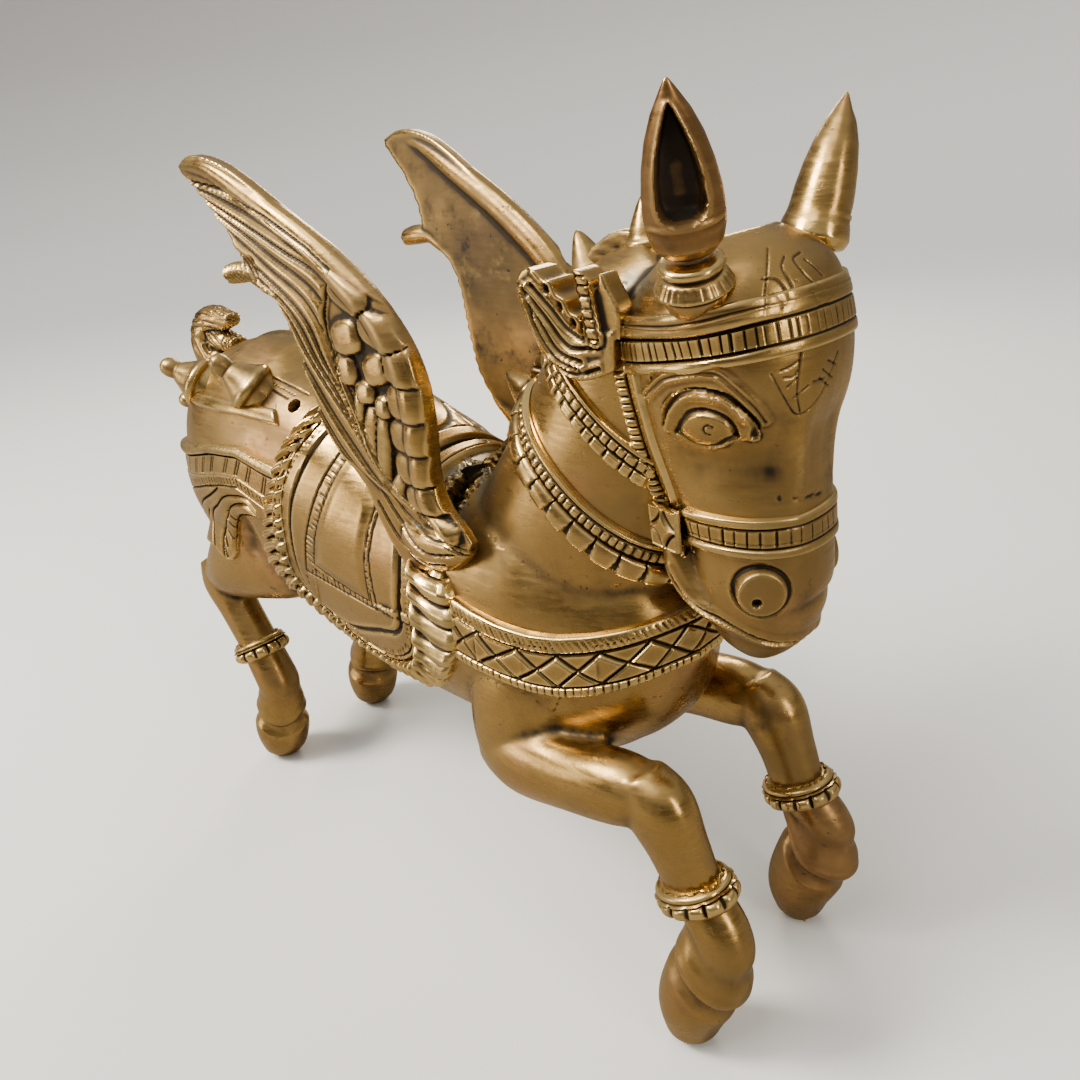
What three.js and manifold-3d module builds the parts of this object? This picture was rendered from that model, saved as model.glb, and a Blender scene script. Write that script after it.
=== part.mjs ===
// Winged horse figurine, cast and chased brass, in millimetres.
// +X is the way the horse faces, +Y its left, +Z up. It stands on its four hoof tips.
import * as THREE from 'three';
import { mergeVertices } from 'three/addons/utils/BufferGeometryUtils.js';
import Module from 'manifold-3d';

const wasm = await Module();
wasm.setup();

// Driving dimensions
const seam = 0.3; // gap that brazing fills between two castings
const trunkWall = 6;
const hoofFlat = 9; // half width of the flat toe that each hoof stands on
const legSpread = 54.5; // from the middle of the horse to a fore hoof
const hindSpread = 46.5;
const shoulderX = 138;
const kneeReach = 106; // from the shoulder forward to the knee
const forearmHeight = 142;
const hipX = -128;
const hockReach = 66; // from the hip back to the hock
const hockHeight = 156;
const foreHoofX = 264;
const hindHoofX = -149;
const ankletTube = 7.5;
const ankletBlocks = 12;
const backHoleRadius = 4.6;
const slotLength = 26;
const slotWidth = 9;
const clothThick = 3.2;
const clothFieldRaise = 2.3; // the field inside the cloth's border stands this much higher
const clothPanelRaise = 1.2; // and the panel this much higher again
const fringeThick = 8.5;
const fringeWidth = 17;
const fringePitch = 17;
const breastBandThick = 3.6;
const lozengeRaise = 2;
const lozengeCount = 13;
const bandBorderRaise = 1.6;
const collarThick = 4.5;
const bridleThick = 4;
const bossThick = 7;
const crupperThick = 4.5;
const upperCrupperWidth = 10;
const lowerCrupperWidth = 11;
const skirtThick = 4;
const wingThick = 7;
const wingStandoff = 61; // from the middle of the horse to the wing's middle plane at its root
const wingFlare = 13; // how much further out the wing's tip lies than its root
const wingFacet = 55; // longest edge in the cupped blade
const barRadius = 8.5;
const featherCount = 10;
const featherRaise = 2.4;
const scaleRaise = 3.4;
const rootBossWidth = 44;
const earHeight = 67;
const earHalfWidth = 18;
const earHalfDepth = 13;
const earWall = 3.5;
const earLean = 17; // degrees outward
const earForward = 5; // degrees towards the forehead
const earSet = 6.5; // the right ear stands this much higher, the left one this much lower
const earTurn = 52; // degrees that the ear's opening faces away from straight ahead
const earRingRadius = 16;
const earRingHeight = 16;
const plumeThick = 7;
const maneThick = 12;
const coneRadius = 11;
const coneHeight = 21;
const budRadius = 16.5;
const budLength = 33;
const rearBudSize = 0.85; // share of the other buds' size
const tailHeight = 42;
const eyeLength = 15;
const nostrilRadius = 13;

const brass = (colour, roughness) => (
  new THREE.MeshStandardMaterial({ color: colour, roughness, metalness: 1 })
);
const figure = new THREE.Group();

// Solids from three.js geometry
function solidOf(geometry) {
  const bare = geometry.clone();
  for (const name of Object.keys(bare.attributes)) if (name !== 'position') bare.deleteAttribute(name);
  const welded = mergeVertices(bare, 1e-4);
  const points = welded.attributes.position.array;
  const faces = Uint32Array.from(welded.index.array);
  if (signedVolume(points, faces) < 0) {
    for (let i = 0; i < faces.length; i += 3) [faces[i], faces[i + 1]] = [faces[i + 1], faces[i]];
  }
  const solid = new wasm.Manifold(new wasm.Mesh({ numProp: 3, vertProperties: points, triVerts: faces }));
  return solid;
}

function signedVolume(points, faces) {
  const corner = (i) => new THREE.Vector3().fromArray(points, 3 * faces[i]);
  let six = 0;
  for (let i = 0; i < faces.length; i += 3) six += corner(i).dot(corner(i + 1).cross(corner(i + 2)));
  return six / 6;
}

function geometryOf(solid) {
  const mesh = solid.getMesh();
  const geometry = new THREE.BufferGeometry();
  geometry.setAttribute('position', new THREE.BufferAttribute(mesh.vertProperties, 3));
  geometry.setIndex(new THREE.BufferAttribute(mesh.triVerts, 1));
  return geometry;
}

// The same piece for the horse's other side
const mirrored = (solid) => solidOf(geometryOf(solid).scale(1, -1, 1));
const joined = (...solids) => solids.reduce((all, next) => all.add(next));
const cut = (solid, ...tools) => tools.reduce((rest, tool) => rest.subtract(tool), solid);

// A form's right half with that half's mirror image, so both flanks have the very same facets
function even(solid) {
  const half = solid.trimByPlane([0, -1, 0], 0);
  return joined(half, mirrored(half));
}

function piece(name, solid, material) {
  const geometry = geometryOf(solid);
  geometry.computeVertexNormals();
  const mesh = new THREE.Mesh(geometry, material);
  mesh.name = name;
  figure.add(mesh);
  return mesh;
}

function pair(name, solid, material) {
  piece(`right_${name}`, solid, material);
  piece(`left_${name}`, mirrored(solid), material);
}

// A rounded casting: a cylinder whose rings are laid along a smooth line. Each station is
// [x, y, z, half width, half depth], and squareness 2 gives an oval section.
function casting(stations, { sides = 20, steps = 3, squareness = 2, grow = 0 } = {}) {
  const line = new THREE.CatmullRomCurve3(stations.map((s) => new THREE.Vector3(s[0], s[1], s[2])));
  const sizes = new THREE.CatmullRomCurve3(stations.map((s) => new THREE.Vector3(s[3], s[4], 0)));
  const rings = steps * (stations.length - 1);
  const geometry = new THREE.CylinderGeometry(1, 1, 1, sides, rings);
  const position = geometry.attributes.position;
  const across = new THREE.Vector3(0, 1, 0);
  for (let i = 0; i < position.count; i++) {
    const t = THREE.MathUtils.clamp(position.getY(i) + 0.5, 0, 1);
    const tangent = line.getTangent(t);
    const side = across.clone().addScaledVector(tangent, -across.dot(tangent)).normalize();
    const deep = new THREE.Vector3().crossVectors(tangent, side);
    const size = sizes.getPoint(t);
    const end = t === 0 ? -grow : t === 1 ? grow : 0;
    const round = (v) => Math.sign(v) * Math.abs(v) ** (2 / squareness);
    const point = line.getPoint(t)
      .addScaledVector(tangent, end)
      .addScaledVector(side, round(position.getX(i)) * (size.x + grow))
      .addScaledVector(deep, round(position.getZ(i)) * (size.y + grow));
    position.setXYZ(i, point.x, point.y, point.z);
  }
  return solidOf(geometry);
}

// An outline drawn in the side view, [x, z] points, and carried from yLow to yHigh
function sideCut(outline, yLow, yHigh, { smooth = false } = {}) {
  const shape = new THREE.Shape();
  const points = outline.map(([x, z]) => new THREE.Vector2(x, z));
  shape.moveTo(points[0].x, points[0].y);
  if (smooth) shape.splineThru([...points.slice(1), points[0].clone()]);
  else for (const p of points.slice(1)) shape.lineTo(p.x, p.y);
  const geometry = new THREE.ExtrudeGeometry(shape, {
    depth: yHigh - yLow,
    bevelEnabled: false,
    curveSegments: 4,
  });
  geometry.rotateX(Math.PI / 2);
  geometry.translate(0, yHigh, 0);
  return solidOf(geometry);
}

// The same outline, drawn wider all round
function swollen(outline, by) {
  const corners = outline.map(([x, z]) => new THREE.Vector2(x, z));
  const turn = Math.sign(THREE.ShapeUtils.area(corners));
  const outOf = (from, to) => (
    new THREE.Vector2(to.y - from.y, from.x - to.x).normalize().multiplyScalar(turn)
  );
  return corners.map((corner, i) => {
    const next = corners[(i + 1) % corners.length];
    const off = outOf(corners.at(i - 1), corner).add(outOf(corner, next));
    off.multiplyScalar(2 * by / off.lengthSq());
    return [corner.x + off.x, corner.y + off.y];
  });
}

// A turned form on its own axis, [radius, height] points, stood at a place and pointed along a direction
function turned(profile, place, direction, segments = 20) {
  const geometry = new THREE.LatheGeometry(profile.map(([r, h]) => new THREE.Vector2(r, h)), segments);
  const up = new THREE.Vector3(0, 1, 0);
  geometry.applyQuaternion(new THREE.Quaternion().setFromUnitVectors(up, direction.clone().normalize()));
  geometry.translate(place.x, place.y, place.z);
  return solidOf(geometry);
}

function egg(place, radii, segments = 10) {
  const geometry = new THREE.SphereGeometry(1, segments, Math.round(segments * 0.6));
  geometry.scale(...radii);
  geometry.translate(...place);
  return solidOf(geometry);
}

const V = (x, y, z) => new THREE.Vector3(x, y, z);

// Trunk: rump, barrel and chest
const trunkStations = [
  [-212, 0, 262, 14, 20],
  [-200, 0, 262, 40, 52],
  [-170, 0, 256, 58, 76],
  [-130, 0, 250, 64, 87],
  [-80, 0, 240, 64, 88],
  [-20, 0, 224, 63, 86],
  [45, 0, 208, 63, 80],
  [105, 0, 206, 64, 79],
  [160, 0, 207, 62, 82],
  [193, 0, 212, 53, 66],
  [220, 0, 219, 37, 43],
  [236, 0, 222, 10, 16],
];
const trunkForm = (grow) => even(casting(trunkStations, { sides: 18, steps: 1, squareness: 2.4, grow }));

// Neck, rising forward out of the shoulders
const neckStations = [
  [128, 0, 200, 48, 58],
  [160, 0, 255, 50, 64],
  [182, 0, 300, 44, 57],
  [203, 0, 345, 38, 51],
  [222, 0, 385, 33, 43],
  [233, 0, 406, 18, 24],
];
const neckForm = (grow) => even(casting(neckStations, { sides: 18, steps: 2, squareness: 2.1, grow }));

// Head, hung nearly upright from the poll to the muzzle
const headStations = [
  [251, 0, 416, 18, 24],
  [254, 0, 404, 36, 41],
  [257, 0, 387, 42, 48],
  [258, 0, 365, 42, 49],
  [259, 0, 340, 39, 43],
  [264, 0, 312, 33, 37],
  [270, 0, 286, 30, 33],
  [273, 0, 262, 30, 30],
  [272, 0, 242, 26, 25],
  [267, 0, 229, 19, 17],
  [264, 0, 222, 8, 8],
];
const headForm = (grow) => even(casting(headStations, { sides: 18, steps: 1, squareness: 2.4, grow }));

// Fore leg: the shoulder drops to the elbow, the forearm reaches forward, the cannon hangs from the knee
const kneeX = shoulderX + kneeReach;
const foreSections = [
  [
    [shoulderX + 12, -36, forearmHeight + 62, 20, 44],
    [shoulderX + 6, -46, forearmHeight + 30, 22, 36],
    [shoulderX, -legSpread + 3, forearmHeight, 20, 25],
    [shoulderX - 3, -legSpread, forearmHeight - 22, 13, 12],
  ],
  [
    [shoulderX - 15, -legSpread + 2, forearmHeight - 10, 13, 14],
    [shoulderX + 8, -legSpread, forearmHeight - 6, 19, 24],
    [(shoulderX + kneeX) / 2, -legSpread - 2, forearmHeight, 19, 21],
    [kneeX - 16, -legSpread, forearmHeight + 6, 18, 20],
    [kneeX + 4, -legSpread + 1, forearmHeight + 9, 13, 13],
  ],
  [
    [kneeX - 10, -legSpread + 1, forearmHeight + 20, 13, 11],
    [kneeX, -legSpread + 1, forearmHeight + 6, 17, 20],
    [kneeX + 12, -legSpread + 2, forearmHeight - 18, 15, 17],
    [kneeX + 22, -legSpread + 3, forearmHeight - 42, 14, 16],
    [foreHoofX + 14, -legSpread + 2, 82, 16, 19],
    [foreHoofX + 16, -legSpread, 65, 18, 22],
    [foreHoofX + 9, -legSpread, 48, 18, 21],
    [foreHoofX + 2, -legSpread - 1, 28, 19, 19],
    [foreHoofX, -legSpread - 2, 10, 14, 14],
    [foreHoofX - 1, -legSpread - 2, -4, hoofFlat - 2, hoofFlat - 2],
  ],
];

// Hind leg: the thigh reaches back to the hock, and the cannon drops forward under the rump
const hockX = hipX - hockReach;
const hindSections = [
  [
    [hipX + 30, -30, hockHeight + 62, 24, 58],
    [hipX + 2, -38, hockHeight + 40, 26, 50],
    [hipX - 30, -hindSpread + 1, hockHeight + 16, 22, 30],
    [hockX + 14, -hindSpread, hockHeight + 4, 17, 19],
    [hockX - 6, -hindSpread, hockHeight, 10, 10],
  ],
  [
    [hockX - 6, -hindSpread, hockHeight + 10, 11, 9],
    [hockX + 4, -hindSpread, hockHeight - 4, 16, 18],
    [hockX + 20, -hindSpread, hockHeight - 28, 15, 16],
    [hindHoofX - 8, -hindSpread, 104, 15, 15],
    [hindHoofX + 4, -hindSpread, 84, 16, 17],
    [hindHoofX + 10, -hindSpread, 66, 18, 19],
    [hindHoofX + 6, -hindSpread, 48, 18, 19],
    [hindHoofX + 1, -hindSpread, 28, 20, 20],
    [hindHoofX - 1, -hindSpread, 10, 16, 16],
    [hindHoofX, -hindSpread, -4, hoofFlat - 3, hoofFlat - 3],
  ],
];

const legForm = (sections, grow) => joined(
  ...sections.map((section) => casting(section, { sides: 10, steps: 1, grow })),
);
const ground = sideCut([[-400, -40], [400, -40], [400, 0], [-400, 0]], -200, 200);

const skinCache = new Map();
function skin(grow) {
  if (!skinCache.has(grow)) {
    const fore = legForm(foreSections, grow);
    const hind = legForm(hindSections, grow);
    const limbs = joined(fore, hind, mirrored(fore), mirrored(hind));
    skinCache.set(grow, joined(trunkForm(grow), neckForm(grow), headForm(grow), limbs));
  }
  return skinCache.get(grow);
}

// Trim laid on the castings: as thick as it says, clear of them by the seam
const trim = (region, thick) => cut(skin(thick).intersect(region), skin(seam));

const body = brass(0xb08a3e, 0.32);
const dark = brass(0x8a6a30, 0.42);
const bright = brass(0xc49a48, 0.28);

// Trunk casting, hollow, open through the slot by the wing and the round hole at the rump
const slotPlace = V(92, -34, 272);
const holePlace = V(-52, -37, 304);
const slotTool = sideCut([[-slotLength / 2, -20], [slotLength / 2, -20], [slotLength / 2, 20], [-slotLength / 2, 20]],
  -slotWidth / 2, slotWidth / 2);
const slotAt = solidOf(geometryOf(slotTool).rotateX(0.2).translate(slotPlace.x, slotPlace.y, slotPlace.z));
const holeProfile = [[0, -20], [backHoleRadius, -20], [backHoleRadius, 20], [0, 20]];
const holeAt = turned(holeProfile, holePlace, V(0, -0.5, 1));
piece('trunk', cut(trunkForm(0), trunkForm(-trunkWall), slotAt, holeAt), body);

// Neck and head castings, each saddle-cut to what carries it
piece('neck', cut(neckForm(0), trunkForm(seam), headForm(seam)), body);

const eyeAt = [268, -37, 347];
const nostrilAt = V(284, -20, 266);
const nostrilAim = V(0.62, -0.78, 0);
const disc = turned([[0, -9], [nostrilRadius, -9], [nostrilRadius, 9], [nostrilRadius - 3, 11], [0, 11]],
  nostrilAt, nostrilAim, 14);
const nostrilHole = turned([[0, 5], [2.6, 5], [2.6, 14], [0, 14]], nostrilAt, nostrilAim, 6);
const eye = egg(eyeAt, [eyeLength, 8, 10]);
const features = joined(disc, eye);
const face = joined(headForm(0), features, mirrored(features));
piece('head', cut(face, nostrilHole, mirrored(nostrilHole)), body);

// Legs, seated on the trunk
const foreLeg = cut(legForm(foreSections, 0), trunkForm(seam), ground);
const hindLeg = cut(legForm(hindSections, 0), trunkForm(seam), ground);
pair('fore_leg', foreLeg, body);
pair('hind_leg', hindLeg, body);

// Anklets: a plain collar over a ring of blocks, threaded round each cannon
function anklet(place, direction, sections) {
  const profile = [
    [8, -ankletTube],
    [23, -ankletTube * 0.8],
    [23, -ankletTube * 0.2],
    [21, ankletTube * 0.1],
    [21.5, ankletTube],
    [8, ankletTube],
    [8, -ankletTube],
  ];
  const ring = turned(profile, place, direction, ankletBlocks);
  return cut(ring, legForm(sections, seam));
}
const foreAnkletAt = V(kneeX + 22, -legSpread + 3, forearmHeight - 41);
const hindAnkletAt = V(hindHoofX - 5, -hindSpread, 99);
pair('fore_anklet', anklet(foreAnkletAt, V(-0.36, 0, 1), foreSections), bright);
pair('hind_anklet', anklet(hindAnkletAt, V(-0.42, 0, 1), hindSections), bright);

// Saddle cloth, draped over the back and both flanks, inside its twisted fringe
const clothOutline = [
  [-10, 340], [-24, 302], [-38, 282], [-51, 260], [-60, 232], [-51, 192], [-18, 178], [20, 164], [60, 166],
  [86, 180], [90, 232], [92, 262], [66, 296], [58, 340],
];
const flank = (outline, yHigh = 0) => sideCut(outline, -90, yHigh);
const clothField = [
  [2, 340], [-9, 300], [-20, 280], [-33, 256], [-39, 230], [-37, 205], [-28, 190], [0, 183], [38, 186],
  [66, 195], [69, 213], [71, 234], [70, 258], [52, 292], [46, 340],
];
const clothPanel = [[8, 293], [-5, 268], [-19, 234], [-26, 209], [47, 204], [45, 236], [49, 267], [38, 293]];
const clothLevels = [
  [clothOutline, clothThick],
  [clothField, clothThick + clothFieldRaise],
  [clothPanel, clothThick + clothFieldRaise + clothPanelRaise],
];
const clothTiers = clothLevels.map(([outline, thick]) => trim(sideCut(outline, -90, 90), thick));
piece('saddle_cloth', joined(...clothTiers), body);

// Each fringe follows the hem at one pitch, with a round lobe for every twist. With room to clear it,
// the outline is the plain strip that holds the lobes.
function fringeOutline(clear = 0) {
  const hem = clothOutline.slice(1, -2).map(([x, z]) => V(x, 0, z));
  const line = new THREE.CatmullRomCurve3(hem);
  const twists = Math.round(line.getLength() / fringePitch);
  const middle = V(20, 0, 250);
  const outer = [];
  for (let i = 0; i <= 2 * twists; i += clear > 0 ? 2 : 1) {
    const p = line.getPointAt(i / (2 * twists));
    const out = line.getTangentAt(i / (2 * twists)).cross(V(0, 1, 0));
    if (out.dot(p.clone().sub(middle)) < 0) out.negate();
    const reach = clear + (i % 2 || clear > 0 ? fringeWidth : fringeWidth - 3);
    outer.push([p.x + out.x * reach, p.z + out.z * reach]);
  }
  const inner = line.getSpacedPoints(12).map((p) => [p.x, p.z]).reverse();
  return [...outer, ...inner];
}
const clothForm = joined(...clothLevels.map(([outline, thick]) => (
  skin(thick + seam).intersect(sideCut(swollen(outline, seam), -90, 90)))));
const fringeForm = skin(fringeThick + seam).intersect(sideCut(fringeOutline(2 * seam), -90, 90));
pair('saddle_fringe', cut(trim(flank(fringeOutline(), -3), fringeThick), clothForm), bright);

// Breast band across the chest, from flank to flank: a row of lozenges between two raised borders
const breastTop = [[113, 233], [150, 227], [185, 226], [215, 233], [243, 241]];
const breastLow = [[113, 194], [150, 191], [185, 190], [215, 199], [243, 211]];
const breastOutline = [...breastTop, ...breastLow.toReversed()];
const borderWidth = 7;
const topBorder = [...breastTop, ...breastTop.toReversed().map(([x, z]) => [x, z - borderWidth])];
const lowBorder = [...breastLow, ...breastLow.toReversed().map(([x, z]) => [x, z + borderWidth])];
const borders = joined(sideCut(topBorder, -90, 90), sideCut(lowBorder.toReversed(), -90, 90));

const rightChest = [
  V(116, -64, 213.5), V(150, -62.5, 209), V(185, -56, 208), V(215, -40, 216), V(240, -12, 226),
];
const leftChest = rightChest.map((p) => V(p.x, -p.y, p.z)).toReversed();
const chestLine = new THREE.CatmullRomCurve3([...rightChest, ...leftChest]);
const lozengePitch = chestLine.getLength() / lozengeCount;
const lozenges = Array.from({ length: lozengeCount }, (_, index) => {
  const share = (index + 0.5) / lozengeCount;
  const out = chestLine.getTangentAt(share).cross(V(0, 0, 1)).normalize();
  const aside = out.clone().cross(V(0, 0, 1));
  const prism = new THREE.CylinderGeometry(1, 1, 24, 4);
  prism.scale(lozengePitch / 2 - 1, 1, 10);
  prism.applyMatrix4(new THREE.Matrix4().makeBasis(aside, out, V(0, 0, 1)));
  const place = chestLine.getPointAt(share);
  prism.translate(place.x, place.y, place.z);
  return solidOf(prism);
});
const breastBand = joined(
  trim(sideCut(breastOutline, -90, 90), breastBandThick),
  trim(borders, breastBandThick + bandBorderRaise),
  trim(joined(...lozenges).intersect(sideCut(breastOutline, -90, 90)), breastBandThick + lozengeRaise),
);
piece('breast_band', cut(breastBand, neckForm(seam)), bright);
const breastForm = skin(breastBandThick + lozengeRaise + seam)
  .intersect(sideCut(swollen(breastOutline, seam), -90, 90));

// Neck collars, slanting down to the throat
function slanted(from, to, wide) {
  const along = new THREE.Vector2(to[0] - from[0], to[1] - from[1]).normalize();
  const off = [-along.y * wide / 2, along.x * wide / 2];
  return [
    [from[0] + off[0], from[1] + off[1]],
    [to[0] + off[0], to[1] + off[1]],
    [to[0] - off[0], to[1] - off[1]],
    [from[0] - off[0], from[1] - off[1]],
  ];
}
const lowerCollar = (grow) => slanted([118, 352], [262, 232], 22 + 2 * grow);
const upperCollar = (grow) => slanted([140, 392], [262, 288], 13 + 2 * grow);
const cheekOutline = [[218, 358], [235, 361.5], [247, 301], [232, 299]];
const fromCheekOn = [cheekOutline[0], cheekOutline[3], [300, 299], [300, 358]];
const beyondCheek = sideCut(swollen(fromCheekOn, seam), -90, 90);
const collar = (outline) => cut(trim(sideCut(outline, -90, 90), collarThick), headForm(collarThick + seam));
piece('lower_neck_collar', cut(collar(lowerCollar(0)), breastForm), bright);
piece('upper_neck_collar', cut(collar(upperCollar(0)), beyondCheek), bright);
const collars = (grow) => joined(
  skin(collarThick + grow).intersect(sideCut(lowerCollar(grow), -90, 90)),
  skin(collarThick + grow).intersect(sideCut(upperCollar(grow), -90, 90)),
);

// Bridle
const browOutline = [[216, 358], [330, 382], [330, 401], [216, 378]];
const noseOutline = [[250, 284], [330, 286], [330, 305], [250, 302]];
piece('brow_band', trim(sideCut(browOutline, -90, 90), bridleThick), bright);
piece('nose_band', trim(sideCut(noseOutline, -90, 90), bridleThick), bright);
const bossOutline = [[226, 276], [249, 278], [249, 300.5], [227, 298.5]];
pair('cheek_strap', trim(flank(cheekOutline, -8), bridleThick), bright);
pair('strap_boss', cut(trim(flank(bossOutline, -8), bossThick), collars(seam)), bright);

// Ears, each standing in its own turned ring, the right pair of pieces set higher than the left one
const leanOut = Math.tan(THREE.MathUtils.degToRad(earLean));
const leanOn = Math.tan(THREE.MathUtils.degToRad(earForward));
const earAxis = V(leanOn, -leanOut, 1);
const browForm = skin(bridleThick + seam).intersect(sideCut(swollen(browOutline, seam), -90, 90));
const stem = (radius, low, foot) => turned(
  [[0, low], [radius, low], [radius, earRingHeight + 6], [0, earRingHeight + 6]], foot, earAxis, 8);

function earRing(foot) {
  const ring = turned([
    [0, -18], [earRingRadius + 5, -18], [earRingRadius + 5, -3], [earRingRadius + 2, 0],
    [earRingRadius + 2, earRingHeight * 0.5], [earRingRadius - 2, earRingHeight * 0.55],
    [earRingRadius - 1, earRingHeight * 0.95], [10, earRingHeight], [0, earRingHeight],
  ], foot, earAxis, 12);
  return cut(ring, skin(seam), stem(7 + seam, 6, foot), browForm);
}

// The cup is a turned drop, flattened front to back, and scooped out through its open side
const earAim = THREE.MathUtils.degToRad(-earTurn);
function earShape(profile, foot, height, forward) {
  const drop = new THREE.LatheGeometry(profile.map(([r, h]) => new THREE.Vector2(r, h)), 10);
  drop.scale(earHalfDepth / earHalfWidth, 1, 1);
  drop.translate(forward, 0, 0);
  drop.rotateX(Math.PI / 2);
  drop.rotateZ(earAim);
  drop.applyQuaternion(new THREE.Quaternion().setFromUnitVectors(V(0, 0, 1), earAxis.clone().normalize()));
  const place = foot.clone().addScaledVector(earAxis, height);
  drop.translate(place.x, place.y, place.z);
  return solidOf(drop);
}
const dropProfile = (radius, height) => [
  [0, 0], [radius * 0.62, 0], [radius * 0.95, height * 0.09], [radius, height * 0.27],
  [radius * 0.95, height * 0.38], [radius * 0.76, height * 0.65], [radius * 0.4, height * 0.84], [0, height],
];
function ear(foot) {
  const cup = earShape(dropProfile(earHalfWidth, earHeight), foot, earRingHeight + seam, 0);
  const hollow = dropProfile(earHalfWidth - earWall, earHeight * 0.74);
  const scoop = earShape(hollow, foot, earRingHeight + 11, earWall + 1.5);
  return cut(joined(cup, stem(7, 6 + seam, foot)), scoop, skin(seam));
}
const highFoot = V(266, -41, 396 + earSet);
const lowFoot = V(267, -38, 396 - earSet);
piece('right_ear_ring', earRing(highFoot), bright);
piece('left_ear_ring', mirrored(earRing(lowFoot)), bright);
piece('right_ear', ear(highFoot), body);
piece('left_ear', mirrored(ear(lowFoot)), body);

// Leaf plumes behind the brow band
const plumeOutline = [
  [213, 352], [190, 347], [174, 358], [166, 384], [172, 402], [186, 407], [196, 396], [204, 386], [214, 379],
];
const plume = sideCut(plumeOutline, -36 - plumeThick, -26, { smooth: true });
pair('plume', cut(plume, skin(seam), browForm, collars(seam)), bright);

// Mane ridge on the crest of the neck
const maneOutline = [
  [86, 286], [104, 298], [122, 326], [140, 356], [160, 386], [178, 408], [196, 419], [212, 420],
  [212, 380], [150, 330], [112, 270],
];
const maneForm = (grow) => sideCut(maneOutline, -maneThick / 2 - grow, maneThick / 2 + grow);
piece('mane_ridge', cut(maneForm(0), skin(seam), collars(seam)), dark);

// Stepped cones on the crest and the poll
function cone(place, direction) {
  const r = coneRadius;
  const h = coneHeight;
  return turned([
    [0, -10], [r, -10], [r, 0.12 * h], [0.72 * r, 0.2 * h], [0.7 * r, 0.38 * h], [0.52 * r, 0.44 * h], [0, h],
  ], place, direction, 10);
}
const crestSolids = joined(
  skin(seam), collars(seam), maneForm(seam).intersect(sideCut(maneOutline, -90, 90)),
);
piece('crest_cone', cut(cone(V(128, 0, 331), V(-0.86, 0, 0.5)), crestSolids), bright);
piece('upper_crest_cone', cut(cone(V(177, 0, 399), V(-0.4, 0, 0.9)), crestSolids), bright);
piece('poll_cone', cut(cone(V(212, 0, 414), V(-0.1, 0, 1)), crestSolids), bright);

// Crupper: an upper and a lower band round the rump, and a draped skirt on each flank
const strap = (line, wide) => [
  ...line.map(([x, z]) => [x, z + wide / 2]),
  ...line.toReversed().map(([x, z]) => [x, z - wide / 2]),
];
const upperCrupperLine = [[-36, 303], [-160, 304], [-260, 295]];
const upperCrupper = strap(upperCrupperLine, upperCrupperWidth);
const lowerCrupper = strap([[-50, 271.5], [-120, 267], [-260, 247]], lowerCrupperWidth);
const crupperRegion = (outline) => sideCut(outline, -90, 90);
const crupper = (outline) => cut(trim(crupperRegion(outline), crupperThick), fringeForm, clothForm);
piece('upper_crupper_band', crupper(upperCrupper), bright);
piece('lower_crupper_band', crupper(lowerCrupper), bright);
const skirtOutline = [
  [-66, 263], [-120, 260.5], [-206, 247], [-206, 216], [-186, hockHeight + 40], [-170, hockHeight + 20],
  [-140, hockHeight + 22], [-124, hockHeight + 52], [-104, 232], [-76, 240],
];
pair('crupper_skirt', cut(trim(flank(skirtOutline, -20), skirtThick), fringeForm), body);

// Stepped buds on the rump, above the upper band
function bud(place, direction, size = 1) {
  const r = budRadius * size;
  const h = budLength * size;
  return turned([
    [0, -12], [r, -12], [r, 0], [0.75 * r, 0.3 * h], [0.72 * r, 0.5 * h], [0.54 * r, 0.54 * h],
    [0.46 * r, 0.8 * h], [0.2 * r, h], [0, h],
  ], place, direction, 10);
}
const bands = (grow) => joined(
  skin(crupperThick + grow).intersect(crupperRegion(swollen(upperCrupper, grow))),
  skin(crupperThick + grow).intersect(crupperRegion(swollen(lowerCrupper, grow))),
);
const rumpSolids = joined(skin(seam), bands(seam));
const frontBud = cut(bud(V(-90, -42, 317), V(-0.5, -0.5, 0.7)), rumpSolids);
const belowBand = sideCut([...upperCrupperLine, [-260, 0], [-50, 0]], -90, 90);
const middleBud = cut(bud(V(-158, -42, 312), V(-0.76, -0.46, 0.46)), rumpSolids, belowBand);
const rearBud = cut(bud(V(-190, -25, 286), V(-0.95, -0.3, 0.15), rearBudSize), rumpSolids, middleBud);
pair('front_rump_bud', frontBud, bright);
pair('middle_rump_bud', middleBud, bright);
pair('rear_rump_bud', rearBud, bright);

// Tail tuft, standing up from the dock and curling forward
const tailStations = [
  [-180, 0, 306, 13, 18],
  [-204, 0, 306 + tailHeight * 0.3, 13, 15],
  [-214, 0, 306 + tailHeight * 0.6, 13, 14],
  [-207, 0, 306 + tailHeight * 0.92, 11, 12],
  [-190, 0, 306 + tailHeight, 8, 9],
  [-168, 0, 306 + tailHeight * 0.92, 4, 5],
];
const tailForm = casting(tailStations, { sides: 12, steps: 1 });
piece('tail', cut(tailForm, rumpSolids, belowBand, middleBud, mirrored(middleBud)), bright);

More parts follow.
